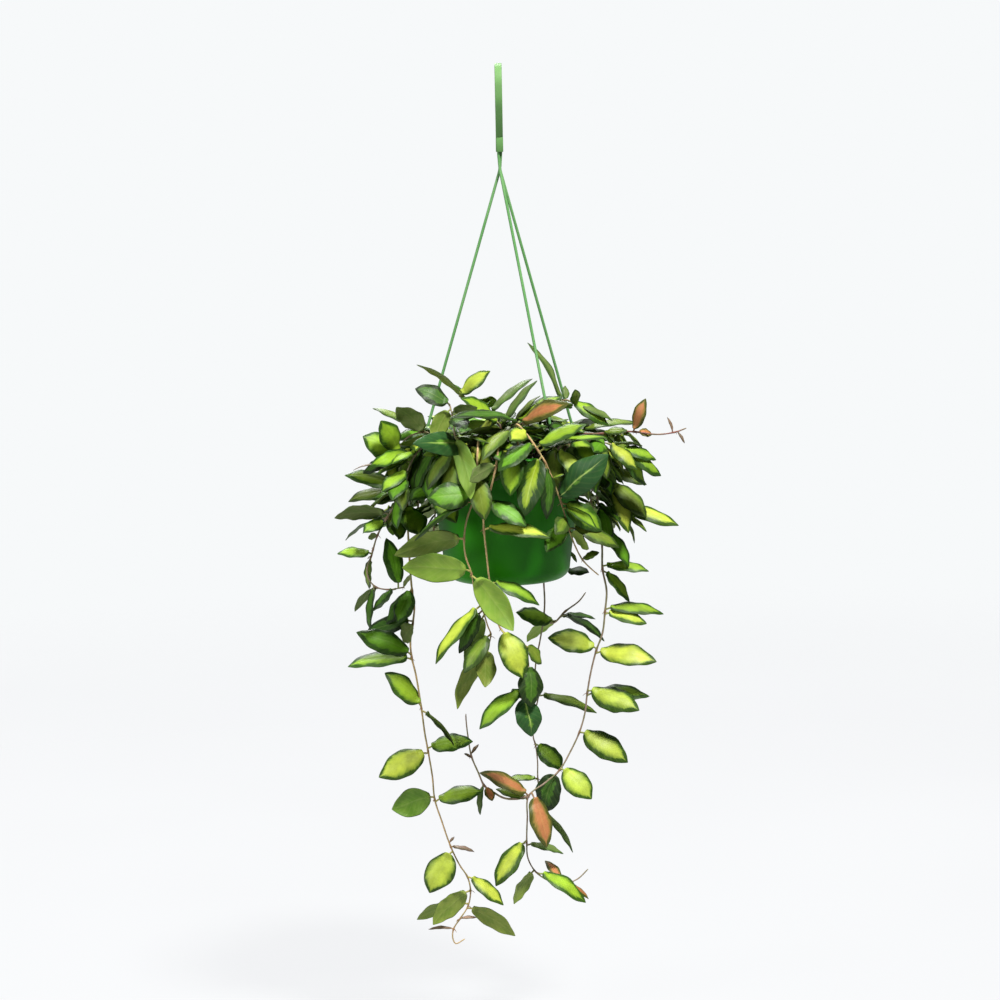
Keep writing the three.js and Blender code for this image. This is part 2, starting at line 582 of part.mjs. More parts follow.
function fillShoot([x, y, heading], index) {
  const draw = seeded(FILL_SEEDS, index);
  const height = SOIL_Z + draw(FILL_HEIGHT);
  const knee = polar(FILL_REACH * FILL_KNEE, heading, height).add(point(x, y, 0));
  const top = polar(FILL_REACH, heading, height + draw(FILL_TOP_RISE)).add(point(x, y, 0));
  return {
    name: `crown_fill_${index + 1}`,
    root: [x, y],
    stems: [stemGeometry([...rootPoints([x, y]), knee, top])],
    leaves: [0, 1].flatMap((at) => leafPair([knee, top], at, heading, FILL_LEAF, draw)),
  };
}

// Whether two solids share any volume, with a quick look at their boxes first
function touches(a, b) {
  for (let axis = 0; axis < 3; axis += 1) {
    if (a.box.min[axis] > b.box.max[axis] || b.box.min[axis] > a.box.max[axis]) return false;
  }
  return a.body.intersect(b.body).volume() > 1e-6;
}

function boxed(body) {
  return { body, box: body.boundingBox() };
}

// Gives every leaf the first of its tips that keeps it clear of all other pieces and of the leaves of
// its own vine. Where none does, a seen leaf may cross its own vine's leaves and a ruled one is left off.
function growLeaves(vines, still) {
  const placed = [];
  for (const vine of vines) {
    for (const stem of vine.stems) placed.push({ owner: vine, ...boxed(solid(stem)) });
  }
  for (const vine of vines) {
    vine.kept = [];
    for (const leaf of vine.leaves) {
      const grown = (tip, extra) => solid(leafGeometry(leaf, tip, extra));
      const clear = (tip) => {
        const trial = boxed(grown(tip, LEAF_CLEARANCE));
        if (still.some((piece) => touches(trial, piece))) return false;
        return !placed.some((other) => other.owner !== vine && touches(trial, other));
      };
      const tips = leaf.tips.filter(clear);
      const apart = (tip) => !vine.kept.some((other) => touches(boxed(grown(tip, 0)), boxed(other)));
      const tip = tips.find(apart) ?? (leaf.ruled ? undefined : tips[0]);
      if (tip === undefined) continue;
      const body = grown(tip, 0);
      vine.kept.push(body);
      placed.push({ owner: vine, ...boxed(body) });
    }
  }
}

function vineBody(vine) {
  return [...vine.stems.map(solid), ...vine.kept].reduce((whole, piece) => whole.add(piece));
}

// Pot: one turned wall with a rounded foot and a flange, pierced for wires and drainage
function wallRadius(z) {
  const low = BASE_Z + POT_CORNER;
  const lowRadius = POT_BASE_RADIUS + POT_CORNER;
  return THREE.MathUtils.mapLinear(z, low, RIM_Z, lowRadius, POT_TOP_RADIUS);
}

function potProfile() {
  const profile = [[0, BASE_Z]];
  for (let i = 0; i <= CORNER_STEPS; i += 1) {
    const angle = (i / CORNER_STEPS) * (Math.PI / 2);
    profile.push([
      POT_BASE_RADIUS + POT_CORNER * Math.sin(angle),
      BASE_Z + POT_CORNER * (1 - Math.cos(angle)),
    ]);
  }
  const under = RIM_Z - FLANGE_THICK;
  profile.push([wallRadius(under), under], [FLANGE_RADIUS, under], [FLANGE_RADIUS, RIM_Z]);
  profile.push([POT_TOP_RADIUS - POT_WALL, RIM_Z]);
  return [...profile, ...innerProfile(0)];
}

// Inside of the pot from the rim's foot down to the axis, drawn in by a gap
function innerProfile(gap) {
  const inner = [];
  for (let i = CORNER_STEPS; i >= 0; i -= 1) {
    const angle = (i / CORNER_STEPS) * (Math.PI / 2);
    const corner = POT_CORNER - POT_WALL;
    inner.push([
      POT_BASE_RADIUS + (corner - gap) * Math.sin(angle),
      BASE_Z + POT_WALL + gap + corner * (1 - Math.cos(angle)),
    ]);
  }
  inner.push([0, BASE_Z + POT_WALL + gap]);
  return inner;
}

function turned(profile, sides) {
  const outline = profile.map(([radius, z]) => new THREE.Vector2(radius, z));
  return new THREE.LatheGeometry(outline, sides).rotateX(Math.PI / 2);
}

function potBody() {
  let body = solid(turned(potProfile(), POT_SIDES));
  for (const degrees of Object.values(HANG_ANGLES)) {
    const centre = polar(HANG_RADIUS, degrees, RIM_Z);
    const hole = upright(WIRE_RADIUS + HANG_HOLE_GAP, BORE_HEIGHT, centre, BORE_SIDES);
    body = body.subtract(solid(hole));
  }
  for (let i = 0; i < DRAIN_COUNT; i += 1) {
    const centre = polar(DRAIN_CIRCLE, ((i + 0.5) * 360) / DRAIN_COUNT, BASE_Z);
    body = body.subtract(solid(upright(DRAIN_RADIUS, BORE_HEIGHT, centre, DRAIN_SIDES)));
  }
  return body;
}

function soilBody(vines) {
  const wall = wallRadius(SOIL_Z) - POT_WALL - SOIL_GAP;
  let body = solid(turned([[0, SOIL_Z], [wall, SOIL_Z], ...innerProfile(SOIL_GAP)].reverse(), POT_SIDES));
  for (const { root: [x, y] } of vines) {
    const low = SOIL_Z - ROOT_DEPTH - ROOT_HOLE_BELOW;
    const high = SOIL_Z + ROOT_HOLE_ABOVE;
    const hole = upright(ROOT_HOLE_RADIUS, high - low, point(x, y, (low + high) / 2), ROOT_HOLE_SIDES);
    body = body.subtract(solid(hole));
  }
  return body;
}

// Hook: a flat strip bent over the seat, with a block that takes the wires
function hookBody() {
  const outer = HOOK_INNER_RADIUS + HOOK_THICK;
  const inner = HOOK_INNER_RADIUS;
  const axis = -HOOK_INNER_RADIUS;
  const outline = new THREE.Shape();
  outline.moveTo(inner, HOOK_TIP_Z);
  outline.lineTo(outer, HOOK_TIP_Z);
  outline.lineTo(outer, axis);
  outline.absarc(0, axis, outer, 0, Math.PI, false);
  outline.lineTo(-outer, HOOK_SHANK_Z);
  outline.lineTo(-HOOK_THICK, BLOCK_TOP_Z - STRIP_TUCK);
  outline.lineTo(HOOK_THICK, BLOCK_TOP_Z - STRIP_TUCK);
  outline.lineTo(HOOK_THICK / 2, BLOCK_TOP_Z + STRIP_FOOT);
  outline.lineTo(-inner, HOOK_SHANK_Z - SHANK_STEP);
  outline.lineTo(-inner, axis);
  outline.absarc(0, axis, inner, Math.PI, 0, true);
  const strip = new THREE.ExtrudeGeometry(
    outline,
    { depth: HOOK_WIDTH, bevelEnabled: false, curveSegments: HOOK_ARC_STEPS },
  );
  strip.translate(0, 0, -HOOK_WIDTH / 2);
  strip.applyMatrix4(new THREE.Matrix4().makeBasis(point(0, 1, 0), point(0, 0, 1), point(1, 0, 0)));
  const wide = BLOCK_HALF_WIDTH;
  const deep = BLOCK_HALF_DEPTH;
  const quarter = [[wide, deep - BLOCK_CHAMFER], [wide - BLOCK_CHAMFER, deep]];
  const corners = [
    ...quarter,
    ...quarter.map(([x, y]) => [-x, y]).reverse(),
    ...quarter.map(([x, y]) => [-x, -y]),
    ...quarter.map(([x, y]) => [x, -y]).reverse(),
  ];
  const block = new THREE.ExtrudeGeometry(
    new THREE.Shape(corners.map(([x, y]) => new THREE.Vector2(x, y))),
    { depth: BLOCK_TOP_Z - BLOCK_BOTTOM_Z, bevelEnabled: false },
  );
  block.translate(0, 0, BLOCK_BOTTOM_Z);
  let body = solid(strip).add(solid(block));
  for (const [x, y] of Object.values(SOCKETS)) {
    const centre = point(x, y, BLOCK_BOTTOM_Z);
    body = body.subtract(solid(upright(WIRE_RADIUS + FIT_GAP, 2 * SOCKET_DEPTH, centre, BORE_SIDES)));
  }
  return body;
}

// Wire: out of its socket, past the pinch, straight to its hole, and a head under the flange
function wireBody(name) {
  const hang = HANG_ANGLES[name];
  const under = RIM_Z - FLANGE_THICK - FIT_GAP;
  const bends = [
    point(...SOCKETS[name], BLOCK_BOTTOM_Z + WIRE_INTO_SOCKET),
    point(...SOCKETS[name], BLOCK_BOTTOM_Z - WIRE_BELOW_BLOCK),
    point(...PINCHES[name], PINCH_Z),
    polar(HANG_RADIUS, hang, RIM_Z + WIRE_UPRIGHT),
    polar(HANG_RADIUS, hang, under - WIRE_INTO_HEAD),
  ];
  const rings = bends.map((centre) => {
    const ring = [];
    for (let k = 0; k < WIRE_SIDES; k += 1) {
      ring.push(polar(WIRE_RADIUS, (360 / WIRE_SIDES) * k, 0).negate().add(centre));
    }
    return ring.reverse();
  });
  const middle = polar(HANG_RADIUS, hang, under - HEAD_THICK / 2);
  const head = upright(HEAD_RADIUS, HEAD_THICK, middle, HEAD_SIDES);
  return solid(loft(rings)).add(solid(head));
}

const LOOKS = {
  hook: { color: 0x8fb981, roughness: 0.45 },
  wire: { color: 0x86b07a, roughness: 0.5 },
  pot: { color: 0x1f5a20, roughness: 0.4 },
  soil: { color: 0x2b2119, roughness: 1 },
  foliage: { color: 0x7f9c35, roughness: 0.6 },
};

function named(name, body, look) {
  const mesh = new THREE.Mesh(geometryOf(body), new THREE.MeshStandardMaterial(LOOKS[look]));
  mesh.name = name;
  return mesh;
}

const plant = new THREE.Group();
const vines = [
  ...FRONT_VINES.map(frontVine),
  ...BACK_VINES.map(backVine),
  ...RIM_SHOOTS.map(rimShoot),
  ...FILL_SHOOTS.map(fillShoot),
];
const pot = potBody();
const soil = soilBody(vines);
const hook = hookBody();
const wires = Object.keys(HANG_ANGLES).map((name) => [name, wireBody(name)]);
growLeaves(vines, [pot, soil, hook, ...wires.map(([, body]) => body)].map(boxed));

plant.add(named('hook', hook, 'hook'));
for (const [name, body] of wires) plant.add(named(name, body, 'wire'));
plant.add(named('pot', pot, 'pot'));
plant.add(named('soil', soil, 'soil'));
for (const vine of vines) plant.add(named(vine.name, vineBody(vine), 'foliage'));

export default plant;
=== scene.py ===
"""Looks of a hanging potted hoya: its variegated leaves, stems, pot, hanger and potting mix.

Lengths are millimetres until a mesh is written in metres. +Z is up, +X to the viewer's right, the viewer
at -Y, and the origin is the seat of the hook, which the whole plant hangs from.
"""
import math

import bpy
import numpy as np
from mathutils import Matrix, Vector, noise
from mathutils.kdtree import KDTree


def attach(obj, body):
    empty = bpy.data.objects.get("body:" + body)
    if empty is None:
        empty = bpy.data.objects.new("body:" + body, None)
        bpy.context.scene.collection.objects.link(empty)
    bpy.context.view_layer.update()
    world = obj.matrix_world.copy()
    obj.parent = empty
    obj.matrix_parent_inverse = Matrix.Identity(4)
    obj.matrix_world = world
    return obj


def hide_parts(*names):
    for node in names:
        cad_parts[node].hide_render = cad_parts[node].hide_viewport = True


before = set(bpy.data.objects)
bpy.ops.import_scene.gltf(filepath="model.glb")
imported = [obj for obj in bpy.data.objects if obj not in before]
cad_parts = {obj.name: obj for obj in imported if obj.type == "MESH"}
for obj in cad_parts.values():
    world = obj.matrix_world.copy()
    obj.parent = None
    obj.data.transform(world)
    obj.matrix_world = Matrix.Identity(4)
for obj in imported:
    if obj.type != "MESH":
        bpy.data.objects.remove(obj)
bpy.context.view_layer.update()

MM = 0.001

# Sizes of the pot, hanger, stems and leaves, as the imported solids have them
RIM_Z = -398.0
POT_HEIGHT = 135.0
POT_BASE_RADIUS = 52.0
POT_CORNER = 14.0
POT_TOP_RADIUS = 81.5
POT_WALL = 1.8
FLANGE_RADIUS = 89.0
FLANGE_THICK = 2.6
HANG_RADIUS = 85.2            # circle of the three wire holes in the flange
HANG_HOLE_GAP = 0.5
DRAIN_COUNT = 4
DRAIN_RADIUS = 4.0
DRAIN_CIRCLE = 30.0           # radius of the circle that the drainage holes stand on
BORE_HEIGHT = 8.0             # of the cylinders that cut the holes
POT_SIDES = 128
POT_BASE_RINGS = (0, 20, 40)
POT_OUTER_RINGS = 22
POT_INNER_RINGS = 12
POT_FILLET = ((0.5, 0.3), (1.6, 0))  # where the wall meets the flange: how far out, how far below it
RIM_BREAK = 0.4
SOIL_BELOW_RIM = 10.0
SOIL_GAP = 0.5
FIT_GAP = 0.35
SOIL_SIDES = 96
SOIL_RINGS = 26
SOIL_SUNK = 1.5               # of the soil's surface, before it is made lumpy
LUMP_SCALE = 0.09
LUMP_HEIGHT = 1.6
LUMP_EDGE = 6                 # width at the wall where the lumps fade out
GRAIN_SEED = 7717
GRAIN_COUNT = 150
GRAIN_REACH = 72
GRAIN_SUNK = 1.2
BARK_EVERY = 3                # every third grain is bark, the others are perlite
BARK_SIZE = (1.6, 3.4)
BARK_STRETCH = (1.9, 1.0, 0.4)
PERLITE_SIZE = (0.8, 1.9)
PERLITE_STRETCH = ((0.7, 1.3), (0.7, 1.3), (0.5, 0.9))
HOOK_WIDTH = 7.4
HOOK_THICK = 4.0
HOOK_INNER_RADIUS = 20.0
HOOK_TIP_Z = -44.0
HOOK_ARC_STEPS = 48
HOOK_BEND_Z = -30.0           # where the strip is straight again after its bend
HOOK_BEVEL = 0.7
HOOK_TIP_BLUNT = 0.5
BEVEL_SHARES = (0, 0.3, 0.62, 0.88, 1.0)
HOOK_SHANK_Z = -40.0          # where the straight shank starts to slant back
SHANK_STEP = 1.0              # how much lower the slant starts on the strip's inside
STRIP_TUCK = 2.0              # length of strip inside the block
STRIP_FOOT = 6.0              # height over the block where the strip has its plain thickness again
BLOCK_TOP_Z = -72.0
BLOCK_BOTTOM_Z = -87.0
BLOCK_HALF_WIDTH = 3.8
BLOCK_HALF_DEPTH = 6.6
BLOCK_ROUNDING = 1.6
BLOCK_LOW_INSETS = ((0.7, 0), (0.2, 0.2), (0, 0.7))  # how far its ends are drawn in, and at what height
BLOCK_HIGH_INSETS = ((0, 1), (0.3, 0.3), (1, 0))
WIRE_RADIUS = 1.5
WIRE_INTO_SOCKET = 6.0
WIRE_BELOW_BLOCK = 2.0        # length of a wire's straight end under the block
WIRE_UPRIGHT = 12.0           # length above the rim where a wire turns upright into its hole
WIRE_INTO_HEAD = 1.0
WIRE_BEND = 5.0               # how far before and after a corner a wire starts to bend
WIRE_BEND_POINTS = 7
WIRE_SIDES = 20
SOCKET_DEPTH = 7.0
SOCKET_OPEN = 1.0             # how far a socket's cutting cylinder reaches out of the block
PINCH_Z = -105.0              # where the wires pass each other below the block
HEAD_RADIUS = 3.2
HEAD_THICK = 2.4
HEAD_EDGE = 0.6
HEAD_SIDES = 28
HANG_ANGLES = {"wire_left": 181, "wire_right": 30, "wire_front": 306}
SOCKETS = {"wire_left": (1.2, 0), "wire_right": (-1.2, 3.6), "wire_front": (-1.2, -3.6)}
PINCHES = {"wire_left": (0, 0), "wire_right": (0, 3.5), "wire_front": (0, -3.5)}
SOIL_Z = RIM_Z - SOIL_BELOW_RIM
BASE_Z = RIM_Z - POT_HEIGHT

STEM_RADIUS = 1.25
STEM_TIP_RADIUS = 0.7
ROOT_DEPTH = 14.0             # length of stem that stands in the soil
ROOT_COLLAR = 1.0
STALK_APART = 4.5             # between the stalks of one node, along the stem
STALK_SHARE = 0.1             # leaf stalk as a share of the leaf, within the lengths below
STALK_MIN = 1.5
STALK_MAX = 5.5
STALK_LIFT = 0.4
STALK_RADIUS = 0.8
BLADE_ARCH = 0.09             # rise of the midrib over the chord
NARROW_LEAF = 10.0            # width under which a leaf has a thinner stalk and blade
LEAST_STALK = 0.75            # stalk of the narrowest leaf, as a share of the full radius
LEAST_BLADE = 0.6
FACING_OUT = 0.9              # level and upward parts of the way that a leaf placed by rule faces
FACING_UP = 0.45
SEEN_BREADTH = 1.1            # true width of a listed blade, over the width that shows
TIP_SHIFTS = (0, 7, -7, 14, -14, 21, -21, 28, -28, 36, -36, 44, -44)
RULE_SHIFTS = (0, 7, -7, 14, -14, 21)
RULE_SWINGS = (0, 15, -15, 30, -30, 48, -48)
TIP_MATCH = 0.05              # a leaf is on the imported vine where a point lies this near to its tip

# Finer form of a leaf: rings along the stalk and blade, and points across the upper face
STALK_RINGS = (0.0, 0.35, 0.7)
BLADE_RINGS = (0.0, 0.02, 0.05, 0.09, 0.14, 0.2, 0.27, 0.34, 0.41, 0.48, 0.55, 0.62, 0.69, 0.75,
               0.81, 0.86, 0.905, 0.94, 0.97, 0.988)
ACROSS = np.array([-1, -0.94, -0.82, -0.62, -0.4, -0.2, -0.07, 0, 0.07, 0.2, 0.4, 0.62, 0.82, 0.94, 1])
BLADE_THICK = 1.1
RECURVE = 0.16                # fall of the margins, as a share of the half width
FOLD = 0.14                   # most that the margins stand higher or lower than that, from leaf to leaf
GROOVE = 0.22                 # depth and share of the half width of the line over the midrib
GROOVE_WIDTH = 0.09
RIB = 0.3                     # height and share of the half width of the midrib under the blade
RIB_WIDTH = 0.12
WAVE = 0.012                  # of the midrib up and down, and sideways, as shares of the length
SWAY = 0.02
RIPPLE = 0.036                # of the margin, as a share of the width
RIPPLES = 16                  # its angle from foot to tip, how far that varies, and its lead at the margin
RIPPLES_VARY = 4
RIPPLE_LEAD = 2.2
FLAT_FROM = 0.09              # share of the blade where the round stalk has turned into a flat blade
SKIN = 0.25                   # least half width over the stalk's
TIP_THINNING = 0.45

STEM_RING = 10                # points around a stem
STEM_STEP = 2.5
STEM_UNEVEN = 0.05
NODE_REACH = 2.6              # of the swelling at a node, along the stem
NODE_SWELLING = 0.4
STUB_RADII = (0.42, 0.34, 0.16)  # of the stub roots at a node
STUB_SIDES = 6
STUB_LENGTHS = (2.2, 1.6)     # shortest, and half of what the longest has more
STUB_APART = 2.4
STUB_FALL = 0.35

# Smaller leaves inside the crown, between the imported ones. They grow on the stems inside these limits.
INNER_SEED = 90071
INNER_STEM_REACH = 135
INNER_STEM_LOW = -468
INNER_STEM_OVER_SOIL = 8
INNER_STEM_OFF_FLANGE = 4
INNER_REACH = 124
INNER_TOP = -336
INNER_BOTTOM = -462
INNER_SIDE = 60               # beyond this x the crown reaches further out and down
INNER_SIDE_REACH = 152
INNER_SIDE_BOTTOM = -505
INNER_GAP = 1.5               # to all other leaves and stems
INNER_TRIALS = 110            # of leaves tried on each stem
INNER_NUMBER = 5000
INNER_LENGTH = (34, 50)
INNER_WIDTH = (0.42, 0.52)
INNER_OVER_RIM = {"heading": (-85, 85), "droop": (5, 78), "turn": (0, 50)}
INNER_ON_SOIL = {"heading": (0, 360), "droop": (-14, 30), "turn": (15, 75)}
CHORD_PROBES = (0.45, 0.75, 1.0)
CLOUD_STEP = 3                # every so many points of a packed leaf are tested, and of a trial leaf
PROBE_STEP = 7
INNER_LOOKS = ("green", "lime", "olive", "dark", "green", "yellow", "olive")

FLOOR_Z = -1010
FLOOR_THICK = 10
FLOOR_RADIUS = 3050
FLOOR_SIDES = 96
FLOOR_NEAR = 1.1              # metres from the plant's axis where the floor starts to fade out
FLOOR_FAR = 3.0
AMBIENT = 0.05

# Lights in metres and watts: place, point that it faces, size, power and colour
LIGHTS = {
    "key": ((1.2, -1.5, 2.9), (0, 0, -0.45), 0.8, 285, (1.0, 0.985, 0.95)),
    "fill": ((-2.5, -1.9, 1.0), (0, 0, -0.5), 1.4, 75, (0.97, 0.99, 1.0)),
    "back": ((-0.6, 2.2, 1.8), (0, 0, -0.45), 1.2, 85, (1.0, 1.0, 1.0)),
}

CAMERA_PLACE = (-0.006507, -3.172624, -0.032427)  # metres
CAMERA_PITCH = 7.5            # degrees down from level
CAMERA_ROLL = -1.1
CAMERA_LENS = 109.714
CAMERA_SENSOR = 36.0
CAMERA_CLIP = 100.0

# Places on the plant are (x, z, y): x and z are read on the upright plane through the hook, and the
# point then moves along the line of sight to its own depth y.
VIEWPOINT = np.array([-6.5, -3172.6, -32.4])
UP = np.array([0.0, 0.0, 1.0])

